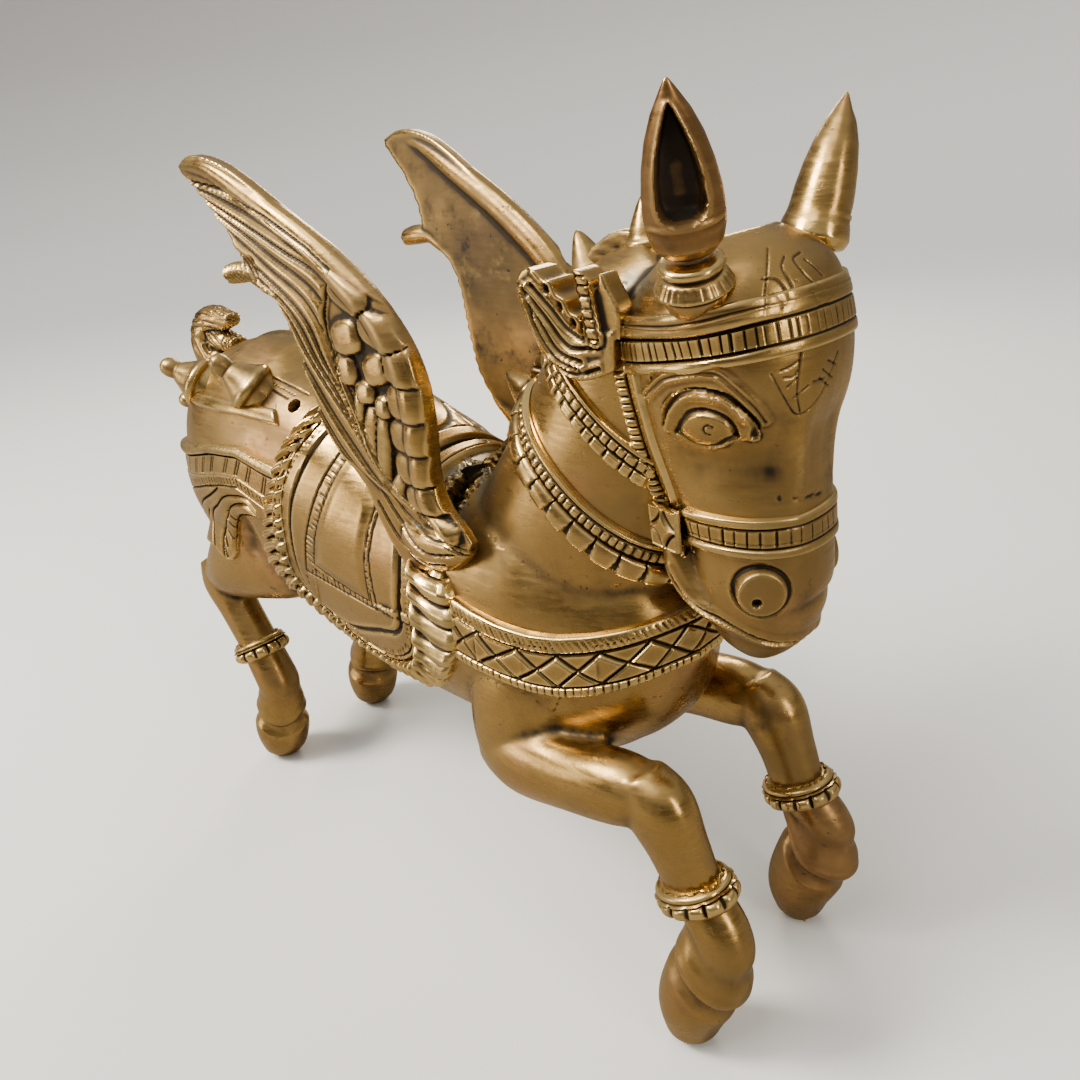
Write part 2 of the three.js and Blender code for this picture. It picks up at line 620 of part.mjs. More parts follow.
// Wings: a plate behind a round leading bar, with ridged flight feathers and two rows of scales
const wingOutline = [
  [-60, 458], [-44, 464], [-16, 460], [33, 434], [68, 414], [94, 393], [111, 370], [117, 350], [116, 326],
  [112, 300], [116, 280], [150, 256], [134, 248], [98, 256], [70, 272], [42, 288], [20, 312], [15, 344],
  [14, 369], [6, 384], [-8, 391], [-43, 392], [-46, 403], [-33, 410], [-34, 425], [-48, 441],
];
const barStations = [
  [-54, 0, 459, 3, 3],
  [-28, 0, 457, 5, 5],
  [10, 0, 438, 7, 7],
  [58, 0, 411, barRadius, barRadius],
  [94, 0, 380, barRadius, barRadius + 1],
  [108, 0, 346, barRadius, barRadius],
  [105, 0, 314, barRadius - 1, barRadius - 1],
  [107, 0, 286, 6, 6],
  [138, 0, 259, 4, 4],
];
const spine = new THREE.CatmullRomCurve3([V(62, 0, 394), V(44, 0, 364), V(50, 0, 326), V(78, 0, 282)]);
const trailing = new THREE.CatmullRomCurve3([
  V(-56, 0, 456), V(-36, 0, 428), V(-42, 0, 398), V(-2, 0, 388), V(16, 0, 366), V(20, 0, 336), V(26, 0, 308),
  V(64, 0, 280),
]);

function feather(index) {
  const share = (index + 0.5) / featherCount;
  const root = spine.getPointAt(share);
  const tip = trailing.getPointAt(share);
  const middle = root.clone().lerp(tip, 0.5);
  const wide = 0.42 * trailing.getLength() / featherCount;
  const raise = wingThick / 2;
  return casting([
    [root.x, -featherRaise, root.z, raise, wide * 0.8],
    [middle.x, -featherRaise, middle.z, raise, wide],
    [tip.x, 0, tip.z, wingThick / 2, wide * 0.7],
  ], { sides: 6, steps: 1 });
}

const outerScales = [
  [50, 376, 15, 17], [73, 367, 15, 12], [87, 352, 15, 10], [91, 336, 15, 9], [91, 320, 15, 9],
  [90, 304, 15, 9], [91, 288, 13, 8],
];
const innerScales = [[48, 349, 9, 13], [63, 340, 10, 10], [62, 321, 9, 12], [69, 302, 8, 13]];
const scale = ([x, z, halfLength, halfWidth]) => (
  egg([x, -wingThick / 2, z], [halfLength, scaleRaise, halfWidth], 6)
);

const wingRoot = V(131, -wingStandoff, 252);
const wingTop = 460;
function placedWing() {
  const flat = joined(
    sideCut(wingOutline, -wingThick / 2, wingThick / 2),
    casting(barStations, { sides: 8, steps: 1 }),
    ...Array.from({ length: featherCount }, (_, index) => feather(index)),
    ...outerScales.map(scale),
    ...innerScales.map(scale),
  );
  const cupped = (point) => {
    const share = Math.max(0, (point[2] - wingRoot.z) / (wingTop - wingRoot.z));
    point[1] -= wingStandoff + wingFlare * share ** 3;
  };
  return flat.refineToLength(wingFacet).warp(cupped);
}
const rootBoss = egg([wingRoot.x, wingRoot.y + 1, wingRoot.z], [rootBossWidth / 2, 10, 23], 12);
const wing = cut(joined(placedWing(), rootBoss), skin(seam), fringeForm, clothForm, breastForm);
pair('wing', wing, body);

// The origin lies under the middle of the figure, on the surface it stands on
const reach = new THREE.Box3().setFromObject(figure);
const middle = reach.getCenter(V(0, 0, 0));
figure.position.set(-middle.x, -middle.y, -reach.min.z);

export default figure;
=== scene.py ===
# %% [markdown]
# A winged horse in cast and chased brass: a leaping body on four hoof tips, a rich harness, a saddle
# cloth with a fringe of fat fingers, and a wing on each shoulder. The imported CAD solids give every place
# and size. This lesson lays the real surface over them: soft castings, chased relief and aged brass.

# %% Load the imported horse
import math

import bpy
import numpy as np
from mathutils import Matrix, Vector
from mathutils.bvhtree import BVHTree


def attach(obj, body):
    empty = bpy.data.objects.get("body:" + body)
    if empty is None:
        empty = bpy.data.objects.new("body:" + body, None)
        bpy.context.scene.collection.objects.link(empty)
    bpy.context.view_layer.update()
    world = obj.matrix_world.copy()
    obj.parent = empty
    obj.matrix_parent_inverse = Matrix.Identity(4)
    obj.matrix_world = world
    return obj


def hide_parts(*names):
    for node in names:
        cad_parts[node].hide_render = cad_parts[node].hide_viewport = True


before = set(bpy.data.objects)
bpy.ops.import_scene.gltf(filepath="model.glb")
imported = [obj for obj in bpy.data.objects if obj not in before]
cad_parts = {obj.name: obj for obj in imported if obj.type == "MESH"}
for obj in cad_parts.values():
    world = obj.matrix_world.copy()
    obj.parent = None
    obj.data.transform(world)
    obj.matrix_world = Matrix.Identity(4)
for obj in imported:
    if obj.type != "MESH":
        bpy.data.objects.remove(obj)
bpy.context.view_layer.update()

# %% [markdown]
# The horse was drawn in millimetres with +X forward, so the drawing's numbers are used here too. These
# small helpers read and write a mesh's points in that drawing's millimetres.

# %% Work in the drawing's millimetres
MIDDLE = np.array([41.039, 0, 0])


def to_frame(points):
    return (np.asarray(points, float) - MIDDLE) / 1000


def to_drawing(places):
    return places * 1000 + MIDDLE


def rows_of(items, what, width=3, kind=float):
    """One row of numbers for every vertex, edge or face."""
    flat = np.empty(width * len(items), kind)
    items.foreach_get(what, flat)
    return flat.reshape(-1, width)


def read(piece):
    return to_drawing(rows_of(piece.data.vertices, "co"))


def write(piece, points):
    piece.data.vertices.foreach_set("co", to_frame(points).ravel())
    piece.data.update()


def normals(piece):
    return rows_of(piece.data.vertices, "normal")


def unit(v):
    return v / np.maximum(np.linalg.norm(v, axis=-1, keepdims=True), 1e-9)


# %% Select, edit and apply as by hand
def pick(*pieces):
    bpy.ops.object.select_all(action="DESELECT")
    for piece in pieces:
        piece.select_set(True)
    bpy.context.view_layer.objects.active = pieces[0]


def named(name):
    piece = bpy.context.object
    piece.name = name
    piece.data.name = name
    return piece


def fresh(name, add, **settings):
    """A new primitive with its own name."""
    bpy.ops.object.select_all(action="DESELECT")
    add(**settings)
    return named(name)


def ball(name, segments, rings):
    """A unit ball, then the x, y and z of its points."""
    piece = fresh(name, bpy.ops.mesh.primitive_uv_sphere_add, segments=segments, ring_count=rings, radius=1)
    return piece, *rows_of(piece.data.vertices, "co").T


def modify(piece, kind, **settings):
    pick(piece)
    modifier = piece.modifiers.new(kind.title(), kind)
    for key, value in settings.items():
        setattr(modifier, key, value)
    bpy.ops.object.modifier_apply(modifier=modifier.name)
    return piece


def edit(piece, *steps):
    """Runs edit-mode steps on everything that is selected in the mesh."""
    pick(piece)
    bpy.ops.object.mode_set(mode="EDIT")
    for step in steps:
        step()
    bpy.ops.object.mode_set(mode="OBJECT")
    return piece


def everything():
    bpy.ops.mesh.select_all(action="SELECT")


def outward():
    bpy.ops.mesh.normals_make_consistent(inside=False)


def flip(piece):
    return edit(piece, everything, bpy.ops.mesh.flip_normals)


def mirror(piece):
    """A right piece becomes the left one."""
    write(piece, read(piece) * [1, -1, 1])
    return flip(piece)


def joined(name, *pieces):
    pick(*pieces)
    bpy.ops.object.join()
    return named(name)


def copied(piece, name):
    pick(piece)
    bpy.ops.object.duplicate()
    return named(name)


def discard(*pieces):
    pick(*pieces)
    bpy.ops.object.delete()


# %% [markdown]
# Old brass is dark where a cloth can't reach and bright where hands rub it. A height map of the
# hollows and the high places is measured on each mesh, and kept as an attribute that the finish reads.

# %% Measure hollows and high places
def keep(piece, label, values):
    """Stores a number per point, for the finish to read."""
    held = piece.data.attributes.get(label) or piece.data.attributes.new(label, "FLOAT", "POINT")
    held.data.foreach_set("value", values.astype(np.float32))


def blurred(values, a, b, rounds):
    """Each point takes on half of its neighbours' mean, again and again."""
    out = values.astype(float).copy()
    count = len(values)
    degree = np.maximum(np.bincount(a, minlength=count) + np.bincount(b, minlength=count), 1)
    for _ in range(rounds):
        total = np.zeros_like(out)
        for k in range(out.shape[1]):
            total[:, k] = np.bincount(a, out[b, k], count) + np.bincount(b, out[a, k], count)
        out = 0.5 * out + 0.5 * total / degree[:, None]
    return out


def measure(piece, rounds=6, share=0.5):
    """relief is above 0 on edges and below 0 in hollows, in millimetres."""
    points, out = read(piece), normals(piece)
    a, b = rows_of(piece.data.edges, "vertices", 2, np.int64).T
    fine, wide = (np.einsum("ij,ij->i", points - blurred(points, a, b, reach), out)
                  for reach in (rounds, rounds * 5))
    relief = blurred((fine + share * np.clip(wide, -0.5, 2))[:, None], a, b, 1)[:, 0]
    keep(piece, "relief", relief)
    return relief


# %% [markdown]
# Each casting is a ball of wax pulled along a line: a sphere whose rings are laid on a smooth curve
# through a few stations. A station is x, y, z, half width, half depth. Squareness 2 is an oval.

# %% A casting along a line
def curve(stations, t):
    """Points on a smooth line through the stations, at t from 0 to 1."""
    s = np.asarray(stations, float)
    s = np.vstack([2 * s[0] - s[1], s, 2 * s[-1] - s[-2]])
    last = len(stations) - 2
    place = np.clip(t, 0, 1) * (last + 1)
    i = np.minimum(place.astype(int), last)
    w = (place - i)[:, None]
    gap = np.maximum(np.sqrt(np.linalg.norm(np.diff(s[:, :3], axis=0), axis=1)), 1e-6)
    p0, p1, p2, p3 = s[i], s[i + 1], s[i + 2], s[i + 3]
    a, b, c = gap[i][:, None], gap[i + 1][:, None], gap[i + 2][:, None]
    m1 = ((p1 - p0) / a - (p2 - p0) / (a + b) + (p2 - p1) / b) * b
    m2 = ((p2 - p1) / b - (p3 - p1) / (b + c) + (p3 - p2) / c) * b
    return p1 + m1 * w + (3 * (p2 - p1) - 2 * m1 - m2) * w**2 + (2 * (p1 - p2) + m1 + m2) * w**3


def casting(name, stations, squareness=2.0, around=48, steps=8):
    rings = steps * (len(stations) - 1) + 1
    piece, x, y, z = ball(name, around, rings + 1)
    ring = np.round(np.arccos(np.clip(z, -1, 1)) / math.pi * (rings + 1))
    t = np.clip((ring - 1) / (rings - 1), 0, 1)
    level = curve(stations, t)
    after, before = (curve(stations, np.clip(t + shift, 0, 1))[:, :3] for shift in (1e-3, -1e-3))
    tangent = unit(after - before)
    side = unit(np.array([0, 1, 0]) - tangent[:, 1:2] * tangent)
    deep = np.cross(tangent, side)
    turn = np.arctan2(y, x)
    inner = (ring > 0.5) & (ring < rings + 0.5)
    oval = lambda v: np.sign(v) * np.abs(v) ** (2 / squareness) * inner
    points = level[:, :3] + side * (oval(np.sin(turn)) * level[:, 3])[:, None]
    points += deep * (oval(np.cos(turn)) * level[:, 4])[:, None]
    write(piece, points)
    return edit(piece, everything, outward)


# %% The horse's stations
trunk_stations = [
    [-212, 0, 262, 14, 20], [-200, 0, 262, 40, 52], [-170, 0, 256, 58, 76], [-130, 0, 250, 64, 87],
    [-80, 0, 240, 64, 88], [-20, 0, 224, 63, 86], [45, 0, 208, 63, 80], [105, 0, 206, 64, 79],
    [160, 0, 207, 62, 82], [193, 0, 212, 53, 66], [220, 0, 219, 37, 43], [236, 0, 222, 10, 16],
]
neck_stations = [
    [128, 0, 200, 48, 58], [160, 0, 255, 50, 64], [182, 0, 300, 44, 57], [203, 0, 345, 38, 51],
    [222, 0, 385, 33, 43], [233, 0, 406, 18, 24],
]
head_stations = [
    [251, 0, 418, 18, 24], [254, 0, 405, 36, 41], [257, 0, 387, 42, 48], [258, 0, 365, 42, 49],
    [259, 0, 340, 39, 43], [264, 0, 312, 33, 37], [270, 0, 286, 30, 33], [272, 0, 262, 30, 31],
    [271, 0, 243, 26, 26], [268, 0, 230, 19, 18], [265, 0, 221, 8, 9],
]
jaw_stations = [
    [236, -18, 289, 8, 8], [240, -20, 273, 9, 9], [247, -20, 261, 9.5, 9.5], [258, -20.5, 252.5, 9, 9],
    [270, -19.5, 246.5, 8.5, 8.5], [281, -15.5, 243.5, 8, 8], [289, -9, 241.5, 7.5, 7.5],
    [291, 0, 241, 7.5, 7.5],
]
fore_stations = [
    [
        [150, -36, 204, 20, 44], [144, -46, 172, 22, 36], [138, -51.5, 142, 20, 25],
        [135, -54.5, 120, 13, 12],
    ],
    [
        [123, -52.5, 132, 13, 14], [146, -54.5, 136, 19, 24], [191, -56.5, 142, 19, 21],
        [228, -54.5, 148, 18, 20], [248, -53.5, 151, 13, 13],
    ],
    [
        [234, -53.5, 162, 13, 11], [244, -53.5, 148, 17, 20], [256, -52.5, 124, 15, 17],
        [266, -51.5, 100, 14, 16], [278, -52.5, 82, 16, 19], [280, -54.5, 65, 18, 22],
        [273, -54.5, 48, 18, 21], [266, -55.5, 28, 19, 19], [264, -56.5, 10, 14, 14],
        [263, -56.5, 0.5, 10, 10],
    ],
]
hind_stations = [
    [
        [-98, -30, 218, 24, 58], [-126, -38, 196, 26, 50], [-158, -45.5, 172, 22, 30],
        [-180, -46.5, 160, 17, 19], [-200, -46.5, 156, 10, 10],
    ],
    [
        [-200, -46.5, 166, 11, 9], [-190, -46.5, 152, 16, 18], [-174, -46.5, 128, 15, 16],
        [-157, -46.5, 104, 15, 15], [-145, -46.5, 84, 16, 17], [-139, -46.5, 66, 18, 19],
        [-143, -46.5, 48, 18, 19], [-148, -46.5, 28, 20, 20], [-150, -46.5, 10, 16, 16],
        [-149, -46.5, 0.5, 11, 11],
    ],
]

# %% [markdown]
# On the real horse the castings flow into each other: the shoulder grows out of the chest, the thigh
# out of the rump. So the lofts are melted into one wax by a voxel remesh and smoothed, and only then
# parted again along the brazed seams.

# %% Melt the lofts into one wax
def limb(name, sections, mirror):
    lofts = []
    for i, stations in enumerate(sections):
        placed = [[x, -y if mirror else y, z, w, d] for x, y, z, w, d in stations]
        lofts.append(casting(f"{name}_{i}", placed, around=32, steps=5))
    return lofts


def melted(piece, grain, rounds):
    modify(piece, "REMESH", mode="VOXEL", voxel_size=grain / 1000)
    return modify(piece, "SMOOTH", factor=0.5, iterations=rounds)


throat = lambda name: casting(name, neck_stations, 2.1, 56, 8)
body_wax = melted(joined(
    "body_wax", casting("trunk_loft", trunk_stations, 2.4, 64, 6), throat("neck_loft"),
    *limb("right_fore", fore_stations, False), *limb("left_fore", fore_stations, True),
    *limb("right_hind", hind_stations, False), *limb("left_hind", hind_stations, True)), 2.2, 5)
head_wax = melted(joined(
    "head_wax", casting("head_loft", head_stations, 2.3, 56, 8), throat("throat_loft"),
    *limb("right_jaw", [jaw_stations], False), *limb("left_jaw", [jaw_stations], True)), 1.3, 6)
print("wax faces", len(body_wax.data.polygons), len(head_wax.data.polygons))


# %% Choose faces by place
def centres(piece):
    return to_drawing(rows_of(piece.data.polygons, "center"))


def choose(piece, faces):
    for part in (piece.data.vertices, piece.data.edges, piece.data.polygons):
        part.foreach_set("select", np.zeros(len(part), bool))
    piece.data.polygons.foreach_set("select", np.asarray(faces, bool))
    bpy.context.tool_settings.mesh_select_mode = (False, False, True)


def finer(piece, faces, cuts=1, smoothness=1):
    """Cuts the chosen faces into smaller ones."""
    choose(piece, faces)
    edit(piece, lambda: bpy.ops.mesh.subdivide(number_cuts=cuts, smoothness=smoothness))
    print(piece.name, len(piece.data.polygons), "faces")


# %% [markdown]
# The head is the showpiece. While it is still wax its face is worked finer than the rest, then cut
# and raised with a few tools: a round push, a V-shaped line drawn on the skin, and a flat boss.

# %% Punches
def dome(q):
    """A round top: 1 where q is 0, and 0 where q has reached 1."""
    return np.sqrt(np.clip(1 - q**2, 0, 1))


def rounded(near, edge):
    """0 at an edge and 1 inside it, with a quarter round between."""
    return dome(np.clip(1 - near / edge, 0, 1))


def bead(v, at, half, high):
    """A round roll along a strap."""
    return high * dome((v - at) / half)


def nick(d, half, deep):
    """A chased line, d millimetres from its middle."""
    return -deep * np.clip(1 - (d / half) ** 2, 0, 1)


def swell(edge0, edge1, x):
    """0 before the first edge, 1 after the second, and smooth between."""
    t = np.clip((x - edge0) / (edge1 - edge0), 0, 1)
    return t * t * (3 - 2 * t)


# %% Lines drawn on a skin
def tree_of(piece):
    return BVHTree.FromObject(piece, bpy.context.evaluated_depsgraph_get())


def drawn(skin, points, per=6):
    """A smooth line through typed points, pressed onto the skin."""
    table = [[*p, 1, 1] for p in points]
    fine = curve(table, np.linspace(0, 1, per * (len(points) - 1) + 1))[:, :3]
    return to_drawing(np.array([skin.find_nearest(Vector(s))[0] for s in to_frame(fine)]))


def away(points, line):
    """Each point's distance from a line of points."""
    best = np.full(len(points), 1e3)
    box = ((points > line.min(0) - 8) & (points < line.max(0) + 8)).all(1)
    for a, b in zip(line[:-1], line[1:]):
        along = b - a
        t = np.clip((points[box] - a) @ along / (along @ along + 1e-9), 0, 1)
        best[box] = np.minimum(best[box], np.linalg.norm(points[box] - a - t[:, None] * along, axis=1))
    return best

BOTH = (np.array([1, 1, 1]), np.array([1, -1, 1]))

# %% Large forms of the head
p, out = read(head_wax), normals(head_wax)
x, y, z = p.T


def hump(centre, size):
    """A soft swelling at the same place on both sides."""
    return np.exp(-(((np.abs(p * [0, 1, 0]) + p * [1, 0, 1] - centre) / size) ** 2).sum(1))


push = -5.0 * np.exp(-(((z - 327) / 13) ** 2)) * swell(12, 26, np.abs(y)) * swell(236, 262, x)
push += 2.4 * hump([286, 33, 366], [16, 14, 15]) + 1.5 * hump([299, 15, 335], [8, 6, 40])
push += 1.6 * hump([283, 26, 268], [16, 12, 15]) - 2.2 * hump([301, 0, 257], [9, 22, 4])
push += 5.5 * np.exp(-(((p - [264, -38, 395]) / [20, 13, 10]) ** 2).sum(1))
write(head_wax, p + out * push[:, None])

# %% A finer net where the face is cut
x, y, z = centres(head_wax).T
fine = (np.abs(x - 266) < 30) & (np.abs(z - 352) < 25) & (np.abs(y) > 18)
fine |= (z > 342) & (x > 276) & (y > -36) & (y < 4)
fine |= (z < 283) & (x > 236) & (z > 228)
finer(head_wax, fine)

# %% [markdown]
# An eye is a domed ball under two thick lids, with a fold above them and a brow over all. The real one
# is cut with a rounded chisel, so here too each line is a groove drawn on the skin, the same on the left.

# %% Eyes: two lids round a domed eyeball, under a brow fold
skin = tree_of(head_wax)
p, out = read(head_wax), normals(head_wax)
work = np.zeros(len(p))
ring_line = [(252, -40, 341), (258, -41, 349), (261, -41, 352), (266, -41, 354), (272.5, -40, 354),
             (278, -38, 351.5), (280.5, -37, 347), (281, -36, 342.5)]
lower_line = [(255, -40, 341), (260.5, -40, 335.8), (267, -40, 334.6), (273, -39, 336.8),
              (277, -38, 340.4), (281, -37, 342)]
outer_lid = [(245.5, -38, 344), (251, -40, 354), (258, -41, 360.5), (265.5, -41, 363), (274, -40, 363),
             (280, -38, 361.5), (285, -36, 356), (288, -32, 350), (287.5, -32, 344)]
brow = [(237, -38, 356), (243, -40.5, 361), (250, -41.5, 366), (269, -41.5, 371), (276, -40, 371),
        (282, -38, 366.5), (288, -34, 359), (291, -30, 351)]
pupil_line = [(272.6, -39, 348), (270, -40, 348.6), (268.2, -40, 346.6), (269, -40, 344.6),
              (271, -40, 344)]
for turn in BOTH:
    q = p * turn
    here = q[:, 1] < -15
    dx, _, dz = (q - [267.5, -38, 345.5]).T
    inside = np.clip(1 - (dx / 13) ** 2 - ((dz + 0.6 - 0.06 * dx) / 9.3) ** 2, 0, 1)
    ring, under, fold, arch, dot = (away(q, drawn(skin, line)) for line in (
        ring_line, lower_line, outer_lid, brow, pupil_line))
    lid = (dx / 21.5) ** 2 + ((dz - 1) / 17) ** 2 < 1
    work += here * (2.4 * inside**0.55 + nick(ring, 1.5, 1.7) + nick(under, 1.7, 1.9)
                    + nick(dot, 0.6, 0.9))
    work += here * nick(fold, 1.5 + 0.7 * swell(278, 289, q[:, 0]), 2.2)
    work += here * (1.7 * swell(7.0, 1.5, fold) * lid * (inside == 0) * (q[:, 2] > 341))
    work += here * (0.7 * nick(arch, 1.3, 1.2) + 1.3 * swell(4.6, 0.8, arch))

# %% [markdown]
# Each nostril is a flat round boss with a punched hole, stuck on the muzzle and ringed by a groove. The
# mouth is one deep groove. A few casting pits were never filled, and they are kept.

# %% Nostrils, mouth and pits
boss, aim = np.array([289.3, -28.8, 269.3]), np.array([0.62, -0.78, 0.0])
mouth = [(238, -27, 267), (246, -28, 257), (256, -28, 252), (267, -28, 249.5), (276, -27, 246.5),
         (284, -24, 243), (291, -18, 239.5), (295, -11, 238)]
raised = p.copy()
for turn in BOTH:
    q = p * turn
    from_boss = q - boss
    along = from_boss @ aim
    radius = np.linalg.norm(from_boss - along[:, None] * aim, axis=1)
    near = (np.abs(along) < 12) & (q[:, 1] < 2)
    top = 1.4 + 0.7 * dome(radius / 11.5) - 1.3 * swell(10.0, 11.6, radius)
    flat = near * swell(12.0, 10.8, radius)
    raised += (flat * (top - along))[:, None] * aim * turn
    work *= 1 - flat
    depth = 1.3 + 0.9 * swell(274, 266, q[:, 2]) * swell(291, 285, q[:, 0])
    work += near * nick(radius - 12.6, 1.2, depth)
    from_hole = q - [287.8, -30.6, 265.6]
    hole = np.linalg.norm(from_hole - (from_hole @ aim)[:, None] * aim, axis=1)
    raised -= (near * 3.4 * swell(2.4, 1.4, hole))[:, None] * aim * turn
    groove = away(q, drawn(skin, mouth))
    work += (q[:, 1] < -4) * (nick(groove, 1.6, 2.8) + 0.9 * swell(6.5, 2, groove) * (radius > 13))
for place, wide, deep in (((285.6, -28.5, 317.5), 2.3, 1.6), ((293.8, -22, 313.4), 2.2, 1.6),
                          ((290.5, -25, 314), 1.5, 1.2), ((241.7, -40.2, 364.7), 1.2, 0.8)):
    work += nick(np.linalg.norm(p - place, axis=1), wide, deep)

# %% [markdown]
# The forehead and the bridge of the nose carry leaves scratched with a graver. They are the shallowest
# lines on the horse, so each is a short groove about a millimetre wide.

# %% Engraved leaves on the forehead
engraving = [
    [(283, -16, 415), (289, -27, 404), (290, -31, 394)],
    [(287, -27, 406), (291, -23, 405), (295, -22, 398), (295, -26, 395)],
    [(289, -29, 399), (292, -26, 400), (295, -25, 396)],
    [(290, -15, 413), (291, -19, 409), (295, -19, 402)],
    [(292, -7, 413), (293, -13, 412), (296, -12, 405), (300, -8, 400)],
    [(294, -8, 410), (298, -3, 403)], [(299, -13, 399), (302, -11, 394), (302, -6, 395)],
    [(294, -31, 371), (296, -25, 360), (299, -19, 352), (303, -12, 357), (305, -8, 362),
     (306, -1, 374)],
    [(301, -21, 379), (300, -22, 363), (300, -19, 353)],
    [(297, -29, 372), (299, -26, 373), (301, -22, 375)], [(298, -28, 369), (300, -24, 369),
     (301, -23, 371)], [(298, -26, 365), (301, -23, 368)], [(299, -23, 360), (303, -18, 364)],
    [(304, -16, 365), (305, -9, 365)], [(305, -13, 366), (305, -6, 361)], [(305, -11, 369), (306, -4, 364)],
    [(306, -8, 372), (306, -2, 369)], [(297, -16.6, 312.6), (300, -6, 311), (300.7, 2.5, 309.3)],
]
for line in engraving:
    work += nick(away(p, drawn(skin, line, 4)), 0.65, 0.55)
write(head_wax, raised + out * work[:, None])


# %% [markdown]
# The body keeps the marks of its casting: a ridge broken over the rump, a deep fold beside the tassel,
# a round pouring hole, a ragged slot by the wing, and a strip of punched dots along the rump.

# %% Body forms
p = read(body_wax)
x, y, z = p.T
over = swell(296, 322, z) * np.exp(-((y / 30) ** 2))
p[:, 2] += over * (6.5 * swell(-136, -124, x) * swell(-72, -92, x)
                   + 2.0 * swell(-184, -168, x) * swell(-147, -153, x))
p[:, 2] -= 3.0 * over * np.exp(-(((x + 141) / 5) ** 2))
recess = np.exp(-(((x + 104) / 9) ** 2) - ((z - 213) / 15) ** 2) * (np.abs(y) > 35)
p -= normals(body_wax) * (4.5 * recess)[:, None]
p[:, 2] = np.maximum(p[:, 2], 0.0)
write(body_wax, p)
x, y, z = centres(body_wax).T
fine = (np.abs(x + 68) < 33) & (z > 300) & (y < -22) & (y > -48)
fine |= (np.abs(x - 92) < 20) & (z > 262) & (y < 0) & (y > -50)
finer(body_wax, fine, 2, 0.6)

# %% Rump strip, pouring hole and slot
skin = tree_of(body_wax)
p, out = read(body_wax), normals(body_wax)
upper = drawn(skin, [(-93, -33, 322), (-78, -31, 321), (-60, -30, 318), (-45, -29, 314)])
lower = drawn(skin, [(-93, -38, 318), (-86, -37.5, 318), (-70, -37, 315), (-58, -35, 310)])
to_upper, to_lower = away(p, upper), away(p, lower)
work = nick(to_upper, 0.8, 0.9) + nick(to_lower, 0.8, 0.9)
mid = (np.abs(to_upper - to_lower) < 1.1) & (to_upper < 5)
work -= 0.8 * mid * np.clip(np.sin(p[:, 0] * 2.3), 0, 1)
hole = np.linalg.norm(p - [-49.5, -38, 309], axis=1)
work -= 8 * swell(5.0, 4.1, hole)
slot = away(p, drawn(skin, [(86, -11, 284), (91, -20, 283), (93, -30, 279), (97, -42, 270)]))
ragged = 6.0 + 1.3 * np.sin(p[:, 1] * 0.7) + 0.9 * np.sin(p[:, 0] * 1.3 + 2)
work -= 10 * swell(ragged + 0.8, ragged - 0.8, slot)
lumps = np.sin(p[:, 0] * 0.9) * np.sin(p[:, 1] * 1.1 + 1) * np.sin(p[:, 2] * 0.8)
work += 1.4 * lumps * swell(22, 9, slot) * swell(ragged, ragged + 2, slot)
write(body_wax, p + out * work[:, None])

# %% [markdown]
# The harness is fitted on the bare wax, before the hooves are worked. A tree of the wax's faces finds
# quickly where a ray from inside leaves it.

# %% Trees that find the wax's surface along a ray
body_skin = tree_of(body_wax)
head_skin = tree_of(head_wax)


def strike(skin, origins, aims):
    """Where rays from inside the wax leave it, in mm."""
    starts = to_frame(origins)
    aims = unit(np.asarray(aims, float))
    hits = np.empty_like(starts)
    for i, (start, aim) in enumerate(zip(starts, aims)):
        place = skin.ray_cast(Vector(start), Vector(aim))[0]
        hits[i] = start + aim * 0.02 if place is None else place
    return to_drawing(hits)


# %% [markdown]
# The castings were joined with a grey solder that ran over the shoulder, the withers and the poll. It is
# kept as a second attribute with soft, uneven borders, and the finish mixes it in.

# %% Grey solder where the castings were joined
def soldered(piece, spots):
    p = read(piece)
    wavy = 0.12 * np.sin(p[:, 0] * 0.5) * np.sin(p[:, 1] * 0.4 + 1)
    grey = np.zeros(len(p))
    for place, size in spots:
        away_by = np.linalg.norm((p - place) / size, axis=1) + wavy
        grey = np.maximum(grey, swell(1.1, 0.5, away_by))
    keep(piece, "solder", grey)


soldered(body_wax, [((78, 0, 288), (42, 34, 22)), ((118, -22, 296), (24, 26, 24)),
                    ((100, -44, 268), (16, 14, 12))])
soldered(head_wax, [((226, -30, 398), (15, 16, 20)), ((250, -24, 414), (14, 14, 8))])

# %% [markdown]
# Every hoof hangs below a wavy coronet, a lip of flesh that slopes down to the front. The wax is stepped
# in under the lip, swelled below it and pinched above it, all outward from the leg's own middle.

# %% Hooves under their coronets
x, y, z = centres(body_wax).T
finer(body_wax, (z < 88) & (np.abs(y) > 18))
p = read(body_wax)
low = swell(96, 84, p[:, 2])
for centre, level, rise, pinched in (((271, 51.5), 42, 14, 3.4), ((-149, 46.5), 40, 7, 2.4)):
    off = np.stack([p[:, 0] - centre[0], np.abs(p[:, 1]) - centre[1]], -1)
    gap = np.linalg.norm(off, axis=1)
    aim = off / np.maximum(gap, 1)[:, None]
    higher = 7 * (p[:, 1] > 0) * (centre[0] > 0)
    above = p[:, 2] - level - higher - rise * (1 - aim[:, 0]) + 1.5 * np.sin(
        3 * np.arctan2(aim[:, 1], aim[:, 0]))
    near = (gap < 45) * low
    work = -2.0 * swell(0.5, -1.2, above) + 1.4 * np.exp(-(((above - 4) / 4) ** 2))
    work += 3.4 * swell(-4, -14, above) * swell(0, 9, p[:, 2])
    work -= pinched * np.exp(-(((above - 22) / 8) ** 2))
    push = (near * work)[:, None] * aim
    p[:, 0] += push[:, 0]
    p[:, 1] += push[:, 1] * np.sign(p[:, 1])
p[:, 2] = np.clip(p[:, 2], 0, None)
write(body_wax, p)

